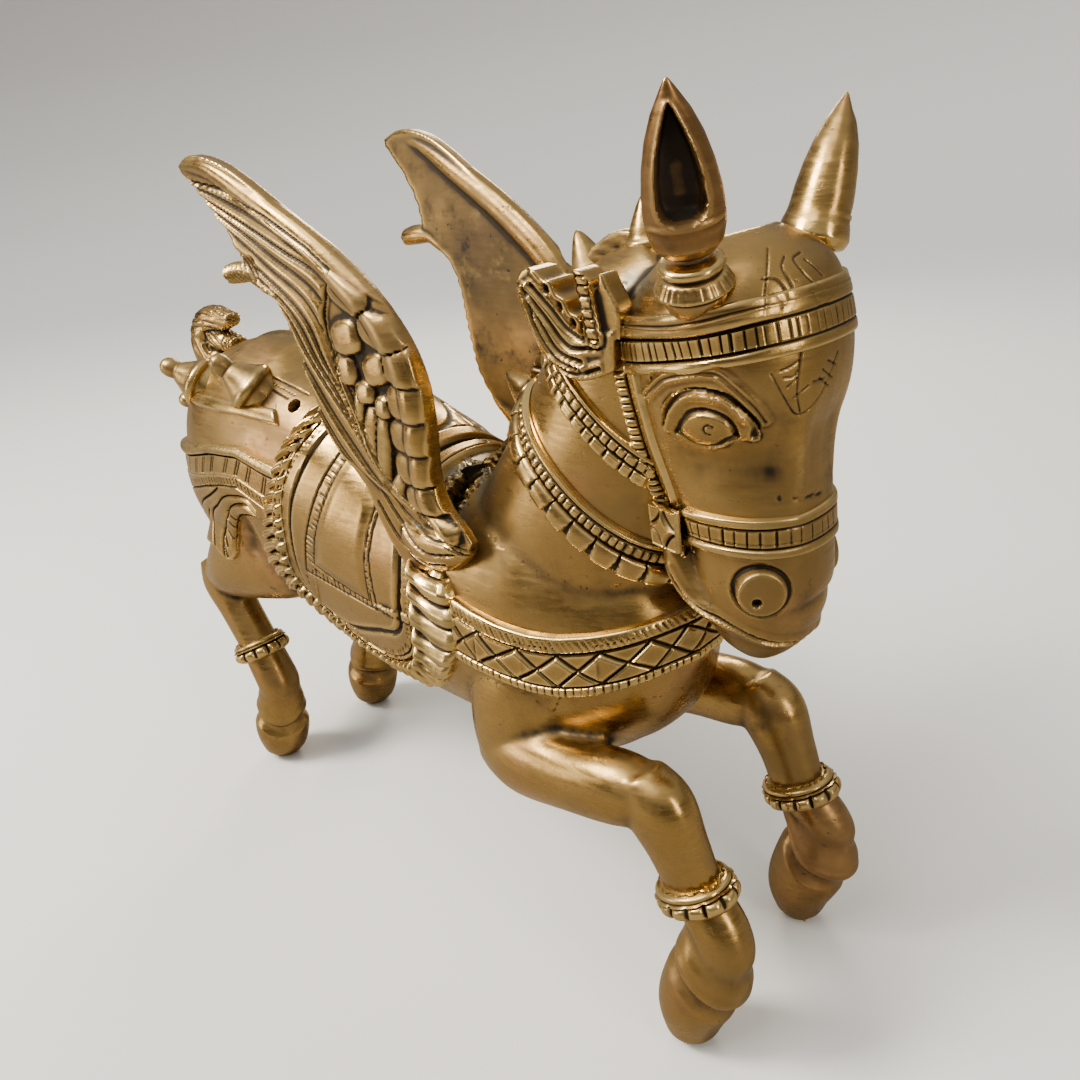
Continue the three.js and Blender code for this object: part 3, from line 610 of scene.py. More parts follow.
# %% [markdown]
# The wax is parted where the real castings meet. Faces outside the barrel belong to the legs, faces
# above a slanting line to the neck, and each part is closed where it was cut.

# %% Part the castings
measure(body_wax, 2, 0.12)
measure(head_wax, 8, 0.1)


def close_cut():
    bpy.ops.mesh.select_mode(type="EDGE")
    bpy.ops.mesh.select_all(action="DESELECT")
    bpy.ops.mesh.select_non_manifold()
    bpy.ops.mesh.fill()


def volume(piece):
    """The closed mesh's volume, below 0 where it is inside out."""
    p = read(piece)
    piece.data.calc_loop_triangles()
    a, b, c = (p[k] for k in rows_of(piece.data.loop_triangles, "vertices", 3, np.int64).T)
    return float(np.einsum("ij,ij->i", a, np.cross(b, c)).sum() / 6)


def face_out(piece):
    edit(piece, everything, outward)
    return flip(piece) if volume(piece) < 0 else piece


def parted(name, source, mine):
    piece = copied(source, name)
    choose(piece, ~mine)
    edit(piece, lambda: bpy.ops.mesh.delete(type="FACE"), close_cut)
    return face_out(piece)


x, y, z = centres(body_wax).T
barrel = curve(trunk_stations, np.linspace(0, 1, 400))
at = lambda k: np.interp(x, barrel[:, 0], barrel[:, k])
spread = np.abs(y / at(3)) ** 2.4 + np.abs((z - at(2)) / at(4)) ** 2.4
is_neck = (z > 280 - 0.264 * (x - 84)) & (x > 60) & (spread > 0.9)
is_leg = (spread > 1.05) & ~is_neck & (z < 190) & (np.abs(y) > 12)
ends = {"fore": is_leg & (x > 60), "hind": is_leg & (x < -60)}
trunk = parted("trunk_casting", body_wax, ~is_neck & ~ends["fore"] & ~ends["hind"])
neck = parted("neck_casting", body_wax, is_neck)
legs = {}
for end, faces in ends.items():
    for label, on_side in (("right", y < 0), ("left", y >= 0)):
        legs[f"{label}_{end}_leg"] = parted(f"{label}_{end}_leg_casting", body_wax, faces & on_side)
print("trunk", len(trunk.data.polygons), "neck", len(neck.data.polygons),
      "legs", [len(leg.data.polygons) for leg in legs.values()])
x, y, z = centres(head_wax).T
head = parted("head_casting", head_wax, x > 231 - 0.155 * (z - 262))


# %% [markdown]
# Aged brass in one node group: warm metal broken by slow colour changes, brown dirt in the hollows and
# painted shade inside the ear cups, a pale rub on the edges, grey solder, and a fine cast skin with pits
# and polishing streaks.

# %% A line per node
class Nodes:
    """Adds nodes to a tree and links them, a line per node."""

    def __init__(self, tree):
        self.tree = tree

    def add(self, kind, links=(), **settings):
        node = self.tree.nodes.new(kind)
        for key, value in settings.items():
            setattr(node, key, value)
        self.feed(node, links)
        return node

    def feed(self, node, links):
        for slot, value in dict(links).items():
            if isinstance(value, bpy.types.NodeSocket):
                self.tree.links.new(value, node.inputs[slot])
            else:
                node.inputs[slot].default_value = value

    def math(self, how, a, b=0.0, clamp=False):
        return self.add("ShaderNodeMath", {0: a, 1: b}, operation=how, use_clamp=clamp).outputs[0]

    def plus(self, a, b, clamp=False):
        return self.math("ADD", a, b, clamp)

    def times(self, a, b):
        return self.math("MULTIPLY", a, b)

    def less(self, a, b):
        return self.math("SUBTRACT", a, b)

    def kept(self, label):
        """A number that was kept on the mesh's points."""
        return self.add("ShaderNodeAttribute", attribute_name=label).outputs["Fac"]

    def noise(self, where, scale, detail=3.0, rough=0.55, stretch=None):
        if stretch:
            where = self.add("ShaderNodeMapping", {"Vector": where, "Scale": stretch}).outputs[0]
        return self.add("ShaderNodeTexNoise", {
            "Vector": where, "Scale": scale, "Detail": detail, "Roughness": rough}).outputs["Fac"]

    def remap(self, value, low, high, to_low=0.0, to_high=1.0):
        return self.add("ShaderNodeMapRange", {
            "Value": value, "From Min": low, "From Max": high, "To Min": to_low, "To Max": to_high,
        }, clamp=True, interpolation_type="SMOOTHSTEP").outputs["Result"]

    def mix(self, share, a, b):
        return self.add("ShaderNodeMix", {0: share, 6: a, 7: b}, data_type="RGBA").outputs[2]


# %% Build the patina group
def socket(group, name, kind, into, value=None):
    made = group.interface.new_socket(name=name, in_out=into, socket_type=kind)
    if value is not None:
        made.default_value = value


patina = bpy.data.node_groups.new("patina", "ShaderNodeTree")
for label, value in (("Metal", (0.62, 0.44, 0.2, 1)), ("Rubbed", (0.9, 0.7, 0.38, 1)),
                     ("Dirt and Shade", (0.06, 0.035, 0.018, 1)), ("Copper", (0.6, 0.3, 0.16, 1))):
    socket(patina, label, "NodeSocketColor", "INPUT", value)
for label, value in (("Hollow Reach", 1.0), ("Shine", 0.25), ("Coppery", 0.25), ("Pits", 0.4)):
    socket(patina, label, "NodeSocketFloat", "INPUT", value)
socket(patina, "Color", "NodeSocketColor", "OUTPUT")
for label in ("Roughness", "Metallic", "Height"):
    socket(patina, label, "NodeSocketFloat", "OUTPUT")
n = Nodes(patina)
given = n.add("NodeGroupInput").outputs
where = n.add("ShaderNodeTexCoord").outputs["Object"]
relief = n.kept("relief")
slow = n.noise(where, 9, 4)
cloudy = n.noise(where, 38, 5, 0.65)
streak = n.noise(where, 60, 4, 0.6, stretch=(1, 1, 7))
speck = n.noise(where, 420, 2, 0.7)
pit = n.remap(n.noise(where, 150, 3, 0.6), 0.66, 0.74)
broken = n.plus(relief, n.times(n.less(cloudy, 0.5), 0.5))
# dark patina in the hollows; inside the ear cups this darkening is painted shade
deep = n.times(given["Hollow Reach"], n.remap(broken, 0.08, -0.3))
patch = n.noise(where, 17, 5, 0.7)
grime = n.times(n.remap(n.times(slow, cloudy), 0.2, 0.36), 0.42)
grime = n.plus(grime, n.times(n.remap(patch, 0.54, 0.72), 0.34))
dirt_and_shade = n.plus(deep, n.plus(grime, n.times(pit, given["Pits"])), clamp=True)
rub = n.remap(n.plus(relief, n.times(n.less(streak, 0.5), 0.3)), 0.06, 0.5)
coppery = n.times(n.remap(n.noise(where, 14, 3), 0.5, 0.72), given["Coppery"])
colour = n.mix(coppery, given["Metal"], given["Copper"])
colour = n.mix(n.remap(cloudy, 0.35, 0.8, 0.0, 0.28), colour, given["Rubbed"])
colour = n.mix(rub, colour, given["Rubbed"])
solder = n.times(n.kept("solder"), n.remap(cloudy, 0.25, 0.6, 0.35, 1.0))
colour = n.mix(solder, colour, (0.3, 0.27, 0.2, 1))
colour = n.mix(dirt_and_shade, colour, given["Dirt and Shade"])
rough = n.plus(given["Shine"], n.remap(streak, 0.25, 0.8, -0.05, 0.13))
rough = n.plus(rough, n.times(dirt_and_shade, 0.3))
rough = n.less(rough, n.times(rub, 0.08))
height = n.plus(n.times(cloudy, 0.5), n.times(speck, 0.09))
height = n.plus(height, n.times(streak, 0.16))
height = n.less(height, n.times(pit, n.times(given["Pits"], 0.7)))
n.add("NodeGroupOutput", {
    "Color": colour, "Roughness": rough, "Height": height, "Metallic": n.less(1.0, n.times(dirt_and_shade, 0.55))})

# %% [markdown]
# The same patina is dressed four ways: castings that are polished by hand, chased trim that is rubbed
# brighter, dark parts that nobody reaches, and the ruddier metal of the near ear.

# %% Finishes for the castings, the trim and the old dark parts
def finish_of(name, metal, rubbed, dirt_and_shade, shine, coppery, pits):
    material = bpy.data.materials.new(name)
    material.use_nodes = True
    n = Nodes(material.node_tree)
    shader = n.tree.nodes["Principled BSDF"]
    group = n.add("ShaderNodeGroup", node_tree=patina)
    n.feed(group, {"Metal": (*metal, 1), "Rubbed": (*rubbed, 1), "Dirt and Shade": (*dirt_and_shade, 1),
                   "Hollow Reach": 1.0, "Shine": shine, "Coppery": coppery, "Pits": pits})
    ripple = n.add("ShaderNodeBump", {
        "Strength": 0.35, "Distance": 0.0012, "Height": group.outputs["Height"]})
    n.feed(shader, {"Normal": ripple.outputs["Normal"], "Base Color": group.outputs["Color"],
                    "Roughness": group.outputs["Roughness"], "Metallic": group.outputs["Metallic"]})
    return material


cast_brass = finish_of("cast_brass", (0.4, 0.256, 0.086), (0.68, 0.48, 0.19), (0.022, 0.014, 0.007),
                       0.22, 0.4, 0.35)
chased_brass = finish_of("chased_brass", (0.43, 0.28, 0.096), (0.74, 0.54, 0.22), (0.018, 0.012, 0.006),
                         0.2, 0.25, 0.2)
dark_brass = finish_of("dark_brass", (0.24, 0.155, 0.055), (0.5, 0.35, 0.14), (0.016, 0.01, 0.005),
                       0.3, 0.2, 0.5)
ruddy_brass = finish_of("ruddy_brass", (0.3, 0.165, 0.06), (0.56, 0.35, 0.14), (0.018, 0.01, 0.006),
                        0.26, 0.6, 0.35)


# %% Hand a piece over to the frame
SHARP = 50


def done(piece, material, slot, *nodes, rounds=6):
    if "relief" not in piece.data.attributes:
        measure(piece, rounds)
    piece.data.materials.clear()
    piece.data.materials.append(material)
    pick(piece)
    bpy.ops.object.shade_smooth_by_angle(angle=math.radians(SHARP))
    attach(piece, "root")
    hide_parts(*nodes)
    print(piece.name, len(piece.data.polygons), "faces")
    return piece


# %% The castings
for node, piece in {"trunk": trunk, "neck": neck, "head": head, **legs}.items():
    done(piece, cast_brass, "aged_brass", node)


# %% [markdown]
# All the harness is chased metal lying on the casting. A flat grid is laid on the wax point by point:
# each point goes where a ray from inside the horse leaves the wax. The chasing is then raised from it
# in millimetres, as a punch and hammer would, and a wall is added with Solidify.

# %% Lay a grid on the wax
SIDE = np.array([0.0, 1.0, 0.0])
UP = np.array([0.0, 0.0, 1.0])
SEAT = 0.2
FIRST_RAYS = 181


def lay_rays(skin, origins, aims):
    shape = np.broadcast_shapes(np.shape(origins), np.shape(aims))
    a, b = (np.broadcast_to(part, shape).reshape(-1, 3) for part in (origins, aims))
    return strike(skin, a, b).reshape(shape)


def from_middle(skin, spots, side):
    """Rays to one side from the horse's middle plane, at spots given as x and z."""
    origins = np.stack([spots[..., 0], np.zeros(spots.shape[:2]), spots[..., 1]], -1)
    return lay_rays(skin, origins, side * SIDE)


def evened(ground, rounds, closed=False):
    """Small dents of the wax are bridged, as stiff metal does."""
    g = ground.copy()
    for _ in range(rounds):
        if closed:
            ring = g[:, :-1]
            g[:, :-1] = 0.5 * ring + 0.25 * (np.roll(ring, 1, 1) + np.roll(ring, -1, 1))
            g[:, -1] = g[:, 0]
        else:
            g[:, 1:-1] = 0.5 * g[:, 1:-1] + 0.25 * (g[:, :-2] + g[:, 2:])
        g[1:-1] = 0.5 * g[1:-1] + 0.25 * (g[:-2] + g[2:])
    return g


def lifts(ground, inside, closed=False):
    """The way out from the wax at every grid point."""
    du = np.gradient(ground, axis=1)
    if closed:
        du[:, 0] = du[:, -1] = ground[:, 1] - ground[:, -2]
    n = unit(np.cross(du, np.gradient(ground, axis=0)))
    return -n if np.einsum("ijk,ijk->ij", n, ground - inside).mean() < 0 else n


def lay(name, ground, inside, lift, closed=False, sink=0.8):
    """A chased plate: the grid raised by lift millimetres, with a wall under it."""
    rows, columns = ground.shape[:2]
    piece = fresh(name, bpy.ops.mesh.primitive_grid_add, x_subdivisions=columns - 1,
                  y_subdivisions=rows - 1, size=2)
    x, y, _ = rows_of(piece.data.vertices, "co").T
    i = np.round((y + 1) / 2 * (rows - 1)).astype(int)
    j = np.round((x + 1) / 2 * (columns - 1)).astype(int)
    out = lifts(ground, inside, closed)
    write(piece, (ground + out * lift[..., None])[i, j])
    ways = out[i, j]
    if closed:
        edit(piece, everything, lambda: bpy.ops.mesh.remove_doubles(threshold=0.00002))
        ways = read(piece) - inside
    if np.einsum("ij,ij->i", normals(piece), ways).mean() < 0:
        flip(piece)
    return modify(piece, "SOLIDIFY", thickness=(float(np.median(lift)) + sink) / 1000, offset=-1)


# %% A belt round the body
def run_of(points):
    """How far along a line of points each one lies."""
    return np.concatenate([[0], np.cumsum(np.linalg.norm(np.diff(points, axis=0), axis=1))])


def around(skin, centre, forward, low, top, arc, step, rows, even, up=UP, closed=False):
    """A belt's ground: rays turn round a centre from one angle to the other, at even steps.
    It comes with s along the belt, v across it, its length and its width."""
    centre, forward, up = (np.asarray(a, float) for a in (centre, forward, up))
    low, top = (edge if callable(edge) else (lambda x, e=edge: np.full_like(x, e)) for edge in (low, top))

    def hits(angle, share):
        aim = forward * np.cos(angle)[..., None] + SIDE * np.sin(angle)[..., None]
        x = np.full(angle.shape, centre[0])
        for _ in range(3):
            offset = low(x) + (top(x) - low(x)) * share
            place = lay_rays(skin, centre + up * offset[..., None], aim)
            x = place[..., 0]
        return place

    coarse = np.radians(np.linspace(*arc, FIRST_RAYS))
    run = run_of(hits(coarse, np.full(FIRST_RAYS, 0.5)))
    along = np.linspace(0, run[-1], int(run[-1] / step) + 2)
    ground = hits(*np.meshgrid(np.interp(along, run, coarse), np.linspace(0, 1, rows)))
    wide = float(np.linalg.norm(np.diff(ground, axis=0), axis=2).sum(0).mean())
    s, v = np.meshgrid(along, np.linspace(0, wide, rows))
    return evened(ground, even, closed), s, v, float(run[-1]), wide


def tilted(skin, start, end, middle_x, wide, arc, step, rows, even, closed=False):
    """A belt whose middle line goes from start to end, both x and z, in the side view."""
    (x0, z0), (x1, z1) = start, end
    size = math.hypot(x1 - x0, z1 - z0)
    forward = [(x1 - x0) / size, 0, (z1 - z0) / size]
    up = [-(z1 - z0) / size, 0, (x1 - x0) / size]
    centre = [middle_x, 0, z0 + (z1 - z0) * (middle_x - x0) / (x1 - x0)]
    return centre, around(skin, centre, forward, -wide / 2, wide / 2, arc, step, rows, even, up, closed)


def trim(name, node, belt, inside, work, edge, ends=True, seat=SEAT, **how):
    """A belt raised by work, rounded off at its edges and sunk a little into the casting."""
    ground, s, v, length, wide = belt
    near = np.minimum(v, wide - v)
    if ends:
        near = np.minimum(near, np.minimum(s, length - s))
    piece = lay(name, ground, inside, work * rounded(near, edge) - seat, **how)
    return done(piece, chased_brass, "bright_brass", node)


# %% Punches for rows of blocks and cuts
def own_of(number, shift=0.0):
    """A share between 0 and 1 that belongs to each number."""
    return np.mod(np.sin(number * 12.9898 + shift) * 43758.5453, 1)


def cells(s, pitch, seed=0.0, wander=0.1):
    """Blocks cut by eye: the distance from each one's middle, and a share that is its own."""
    place = s / pitch + wander * np.sin(1.7 * s / pitch + seed) + 0.6 * wander * np.sin(
        4.1 * s / pitch + 2 * seed)
    number = np.floor(place)
    return (place - number - 0.5) * pitch, own_of(number, seed * 3.7)


def blocks(s, v, at, half, pitch, high, seed=0.0, gap=0.5, square=3.5):
    """A row of cushioned blocks."""
    local, own = cells(s, pitch, seed)
    q = np.abs(local / (pitch / 2 - gap / 2)) ** square + np.abs((v - at) / half) ** square
    return high * (0.8 + 0.4 * own) * np.clip(1 - q, 0, 1) ** 0.45


def ticks(s, v, low, top, pitch, deep, seed=0.0, slant=0.0, half=0.55):
    """Short cuts across a strip between two heights."""
    local, own = cells(s + slant * (v - low), pitch, seed)
    inside = np.clip((v - low) / 0.4, 0, 1) * np.clip((top - v) / 0.4, 0, 1)
    return nick(local, half, deep) * inside * (0.7 + 0.5 * own)


def beside(line, x, z):
    """Signed distance from a line of points: above 0 on its left."""
    line = np.asarray(line, float)
    best, sign = np.full(x.shape, 1e9), np.ones(x.shape)
    for (x0, z0), (x1, z1) in zip(line[:-1], line[1:]):
        dx, dz = x1 - x0, z1 - z0
        t = np.clip(((x - x0) * dx + (z - z0) * dz) / (dx * dx + dz * dz), 0, 1)
        d = np.hypot(x - x0 - t * dx, z - z0 - t * dz)
        turn = dx * (z - z0) - dz * (x - x0)
        closer = d < best
        best = np.where(closer, d, best)
        sign = np.where(closer, np.sign(turn), sign)
    return best * sign


# %% A smooth path through points
def smooth_path(points, count):
    """count points at even steps on a smooth line through x and z."""
    fine = curve([[x, 0, z, 1, 1] for x, z in points], np.linspace(0, 1, 1200))[:, [0, 2]]
    run = run_of(fine)
    at = np.linspace(0, run[-1], count)
    return np.stack([np.interp(at, run, fine[:, k]) for k in (0, 1)], -1)


def between(points):
    x, z = np.array(points, float).T
    return lambda at: np.interp(at, x, z)


# %% [markdown]
# The breast band crosses the chest from flank to flank: a ticked roll above, a row of lozenges between
# crossing lines, and small blocks below. It is one belt, and each row is added at its own height.

# %% Breast band
belt = around(
    body_skin, [160, 0, 0], [1, 0, 0],
    between([(113, 194), (130, 192), (150, 190.5), (170, 189.8), (185, 190.7), (200, 194),
             (215, 199.5), (230, 205.5), (243, 210.5)]),
    between([(113, 233), (130, 229.5), (150, 227), (170, 225.8), (185, 226.5), (200, 229),
             (215, 232.5), (230, 236.5), (243, 240)]), (-125, 125), 0.75, 60, 3)
_, s, v, length, wide = belt
LOZENGES = 13
pitch, low, top = length / LOZENGES, 6.5, wide - 10.5
field = (v - low) / (top - low)
sway = s + 2.2 * np.sin(s / 29 + 1) + 1.2 * np.sin(s / 11)
across = 2 * np.abs(np.mod(sway / pitch - 0.5, 1) - 0.5)
lozenge = np.minimum(np.abs(1 - across - np.abs(2 * field - 1)), 1) * pitch / 2 * 0.8
is_lozenge = 1 - across > np.abs(2 * field - 1)
inside = (v > low) & (v < top)
_, own = cells(sway, pitch, 1.0)
work = np.where(inside, (1.1 + 0.9 * own) * swell(0.3, 2.6, lozenge) * (0.45 + 0.55 * is_lozenge), 0)
work += np.where(inside, nick(lozenge, 0.75, 1.3), 0)
work += bead(v, wide - 4.6, 4.8, 1.9) + nick(v - (wide - 9.6), 0.7, 1.5) + nick(v - top, 0.5, 0.8)
work += ticks(s, v, wide - 8.8, wide - 2.4, 3.7, 0.7, 1.0, slant=0.55, half=0.45)
dots, _ = cells(s, 3.1, 2.0)
work += nick(np.hypot(dots, v - (wide - 6.2)), 0.8, 0.9) * (np.mod(s / 47, 1) < 0.42)
work += 1.2 * swell(5.6, 5.0, v) + nick(v - 5.9, 0.6, 1.3) + ticks(
    s, v, 0.6, 5.2, 4.1, 1.2, 2.0, half=0.5)
trim("breast_band_chased", "breast_band", belt, [150, 0, 210], 3.4 + work, 1.6)

# %% [markdown]
# The saddle cloth goes from hem to hem over the back. Its rays fan out from the barrel's own axis, so
# the grid lies as evenly on the back as on the flanks, and its edges follow the curved outline.

# %% The cloth's outline
rear_edge = between([(150, -51), (192, -51), (232, -60), (260, -51), (282, -38), (302, -24), (340, -10)])
front_edge = between([(150, 80), (180, 80), (205, 83), (232, 84), (262, 83), (296, 66), (340, 58)])
hem = between([(-62, 200), (-51, 192), (-35, 185), (-18, 178), (20, 164), (40, 164), (60, 168),
               (80, 182), (92, 190)])
axis_height = between([(row[0], row[2]) for row in trunk_stations])


def fan(x, angle):
    aim = np.stack([np.zeros_like(angle), np.sin(angle), np.cos(angle)], -1)
    return lay_rays(body_skin, np.stack([x, np.zeros_like(x), axis_height(x)], -1), aim)


# %% How far round the cloth reaches
sample_x = np.linspace(-66, 96, 41)
sample_turn = np.radians(np.linspace(70, 170, 61))
heights = fan(*np.meshgrid(sample_x, sample_turn, indexing="ij"))[..., 2]
hem_turn = np.array([np.interp(-hem(x), -heights[i], sample_turn) for i, x in enumerate(sample_x)])
reach_of = lambda x: np.interp(x, sample_x, hem_turn)
print("the cloth hangs to", np.degrees(reach_of(np.array([-40.0, 20.0, 80.0]))).round(), "degrees")

# %% Drape the cloth
share, turn = np.meshgrid(np.linspace(0, 1, 144), np.linspace(-1, 1, 300), indexing="ij")
z = np.full(share.shape, 250.0)
for _ in range(4):
    x = rear_edge(z) + (front_edge(z) - rear_edge(z)) * share
    ground = fan(x, turn * reach_of(x))
    z = ground[..., 2]
ground = evened(ground, 4)

# %% [markdown]
# The cloth is chased in steps: a rolled edge with cuts, a ledge, and a panel framed by a row of small
# blocks. The lines are typed once in the side view, and every height is a distance from one of them.

# %% Chase the cloth
z = ground[..., 2]
outline = smooth_path([
    (-6, 352), (-24, 302), (-38, 282), (-51, 260), (-59, 232), (-56, 208), (-49, 192), (-23, 182),
    (5, 168), (36, 164), (60, 171), (76, 185), (81, 205), (83, 235), (80, 262), (66, 296), (56, 352)], 120)
ledge_line = smooth_path([
    (14, 352), (-9, 300), (-18, 282), (-31, 253), (-36, 229), (-35, 205), (-27, 189), (-12, 183),
    (5, 180), (22, 183), (42, 189), (60, 194), (65.5, 201), (66.5, 215), (69, 234), (67, 256),
    (52, 292), (44, 352)], 120)
panel_line = [(11, 297), (7, 291), (-4, 268), (-19, 234), (-25.5, 211), (13, 207), (48, 204),
              (44, 236), (48, 266), (42, 292), (11, 297)]
inner_line = [(16, 291), (12, 286), (3.5, 265), (-9, 236), (-14, 218), (11, 212), (41, 208),
              (40, 235), (44, 262), (38, 286), (16, 291)]
near = np.minimum(beside(outline, x, z), 60)
ledge, outer_d, inner_d = (beside(line, x, z) for line in (ledge_line, panel_line, inner_line))
work = bead(near, 1.4, 1.8, 0.8) + nick(near - 3.3, 0.6, 1.2)
work += 0.7 * swell(3.6, 4.6, near) * swell(-2.5, -3.5, ledge) + nick(ledge + 3.2, 0.6, 1.1)
work += ticks(np.where(z < 192, x, -z), near, 4.0, 8.4, 3.4, 0.7, 3.0, half=0.4) * swell(
    -3.5, -4.5, ledge)
work += 2.4 * swell(-1.4, 2.2, ledge) + nick(ledge + 1.6, 1.1, 1.3)
strip = swell(0.2, 0.8, outer_d) * swell(-0.2, -0.8, inner_d)
work += nick(outer_d, 0.75, 1.1) + nick(inner_d, 0.55, 0.7)
cut, _ = cells(np.where(z < 214, x * 0.97, z * 1.05 + 0.4 * x), 3.9, 5.0)
work += nick(cut, 0.4, 0.8) * strip
work += 1.1 * swell(0.5, 9, inner_d)
cloth = lay("saddle_cloth_chased", ground, [15, 0, 225], (2.9 + work) * rounded(near, 1.6) - SEAT)
done(cloth, cast_brass, "aged_brass", "saddle_cloth")


# %% [markdown]
# Round the cloth runs a fringe of fat fingers. The table gives, all the way round, where a finger
# starts on the cloth, where it ends, and how far the next one is. Each finger is a half round,
# fatter at its outer end, with a deep gap on both sides.

# %% The fingers' places
COLUMNS, ROWS = 14, 36
fingers = np.array([
    [-14, 316, -34, 306, 9], [-20, 303, -42, 292, 9], [-30, 287, -51, 277, 9.5], [-38, 268, -58, 261, 10],
    [-43, 250, -66, 245, 10], [-45, 231, -77, 223, 10], [-47, 210, -82, 199, 10], [-44, 197, -69, 182, 9],
    [-27, 187, -43, 167, 8], [-9, 176, -20, 151, 7.5], [10, 166, 7, 146, 7.5], [36, 165, 37, 148.5, 8],
    [56, 169, 66, 153, 9], [72, 178, 95, 163, 12], [79, 192, 110, 181, 14], [80, 210, 120, 198, 14],
    [80, 229, 124, 216, 14], [79, 248, 118, 238, 14],
], float)
middle = (fingers[:, :2] + fingers[:, 2:4]) / 2
step = np.linalg.norm(np.diff(middle, axis=0), axis=1) / (0.5 * (fingers[1:, 4] + fingers[:-1, 4]))
number = np.concatenate([[0], np.cumsum(step)])
number *= round(number[-1]) / number[-1]
table = curve(np.column_stack([fingers[:, :4], number]), np.linspace(0, 1, 2000))
count = np.arange(0, number[-1] * COLUMNS + 1) / COLUMNS
spots = np.stack([np.interp(count, table[:, 4], table[:, k]) for k in range(4)], -1)
print("fingers", number[-1], "columns", len(count))

# %% Fringe
v = np.linspace(0, 1, ROWS)[:, None]
turn = count[None] + 0.07 * np.sin(count[None] * 2.1)
local, own = np.mod(turn, 1) - 0.5, own_of(np.floor(turn))
start, end = spots[None, :, :2], spots[None, :, 2:]
long = np.linalg.norm(spots[:, :2] - spots[:, 2:], axis=1)[None]
reach = 1 - (0.07 + 0.05 * own) - 4.2 / long * (2 * np.abs(local)) ** 3
bow = 0.09 * np.sin(np.pi * v) * long
across = unit(end - start)
place = start + (end - start) * (v * reach)[..., None] + np.stack(
    [across[..., 1], -across[..., 0]], -1) * bow[..., None]
fat = 0.62 + 0.38 * swell(0.0, 0.75, v)
lobe = dome(2 * np.abs(local) / fat)
pitch = np.interp(count, number, fingers[:, 4])[None]
high = (0.42 + 0.1 * own) * pitch
ends = rounded(v, 0.3) * rounded(1 - v, 0.16)
height = 1.0 + 2.9 * swell(0.34, 0.12, v) + high * lobe * ends + 0.3 * np.sin(
    6 * np.pi * local) * lobe * (v > 0.2)
for side, label in ((-1, "right"), (1, "left")):
    ground = evened(from_middle(body_skin, place, side), 3)
    piece = lay(f"{label}_fringe_fingered", ground, [15, 0, 225], height * rounded(1 - v, 0.05) - SEAT)
    done(piece, chased_brass, "bright_brass", f"{label}_saddle_fringe")

# %% [markdown]
# Two collars slant down the neck to the throat. Each one lies in its own tilted plane, so its rays
# start on the neck's middle line and turn in that plane.

# %% Neck collars
BLOCK = 13.5
centre, belt = tilted(
    body_skin, (118, 352), (262, 232), 184, 22, (-180, 180), 0.7, 42, 4, closed=True)
_, s, v, length, wide = belt
s = s * round(length / BLOCK) * BLOCK / length
local, own = cells(s, BLOCK, 0.0, 0.0)
notch = BLOCK / 2 - np.abs(local)
work = bead(v, 5.8, 6.0, 2.6 + 0.5 * own) * (v < 11.8) + nick(v - 12.2, 0.8, 1.6)
work += nick(notch, 0.5 + 1.9 * swell(12, 0, v), 2.4) * (v < 11.6)
work += blocks(s, v, 15.6, 2.5, 4.5, 1.3, 0.0, gap=0.7) * (v > 12.4)
work += nick(v - (wide - 3.2), 0.6, 1.2) + bead(v, wide - 1.5, 1.5, 1.2)
trim("lower_collar_chased", "lower_neck_collar", belt, centre, 2.6 + work, 1.2, ends=False, closed=True)

centre, belt = tilted(body_skin, (140, 392), (262, 288), 203, 15, (38, 322), 0.7, 30, 4)
_, s, v, length, wide = belt
work = blocks(s, v, wide * 0.24, wide * 0.2, 7.5, 1.6, 1.0, gap=0.7, square=6)
work += blocks(s + 2, v, wide * 0.62, wide * 0.16, 5.2, 1.3, 2.0, gap=0.6, square=5)
work += nick(v - wide * 0.45, 0.6, 1.3) + nick(v - wide * 0.8, 0.6, 1.2) + bead(v, wide - 1.4, 1.4, 0.8)
trim("upper_collar_chased", "upper_neck_collar", belt, centre, 2.7 + work, 1.0)

# %% [markdown]
# The bridle: a brow band under the ears, a nose band above the nostrils, and on each cheek a beaded
# strap that ends in a square boss with a four-pointed star.

# %% Brow band and nose band
centre, belt = tilted(head_skin, (216, 374.5), (330, 396), 256, 25, (-134, 134), 0.55, 56, 4)
ground, s, v, length, wide = belt
fade = 1 - 0.72 * swell(282, 299, ground[..., 0])
work = bead(v, wide - 2.6, 2.7, 1.9) + bead(v, wide - 7.0, 2.8, 2.6) + nick(v - (wide - 10.0), 0.8, 1.8)
work += 1.0 * swell(wide - 10.4, wide - 11.0, v) * swell(5.8, 6.4, v)
work += ticks(s, v, 6.2, wide - 10.8, 4.3, 1.3, 3.0, half=0.55) + nick(v - 5.5, 0.8, 1.6) + bead(
    v, 2.6, 2.7, 1.6)
trim("brow_band_chased", "brow_band", belt, centre, 0.8 + (1.6 + work) * fade, 0.9)

centre, belt = tilted(head_skin, (250, 294), (330, 296.5), 268, 19, (-121, 121), 0.55, 42, 3)
ground, s, v, length, wide = belt
fade = 1 - 0.6 * swell(288, 301, ground[..., 0])
work = bead(v, wide - 2.2, 2.4, 1.1) + nick(v - (wide - 4.8), 0.6, 1.4) + nick(v - 5.0, 0.6, 1.5)
work += 0.5 * swell(5.2, 5.8, v) * swell(wide - 5.2, wide - 5.8, v) + ticks(
    s, v, 5.4, wide - 5.4, 5.8, 1.1, 4.0, half=0.5) + nick(v - 7.2, 0.4, 0.5) + bead(v, 2.4, 2.6, 1.7)
trim("nose_band_chased", "nose_band", belt, centre, 0.8 + (1.6 + work) * fade, 0.9)


# %% A plate on one flank
def spread_between(corners, s, v):
    """Spots between four corners, which are given as x and z."""
    a, b, c, d = (np.array(p, float) for p in corners)
    return (1 - v)[..., None] * (a + (b - a) * s[..., None]) + v[..., None] * (d + (c - d) * s[..., None])


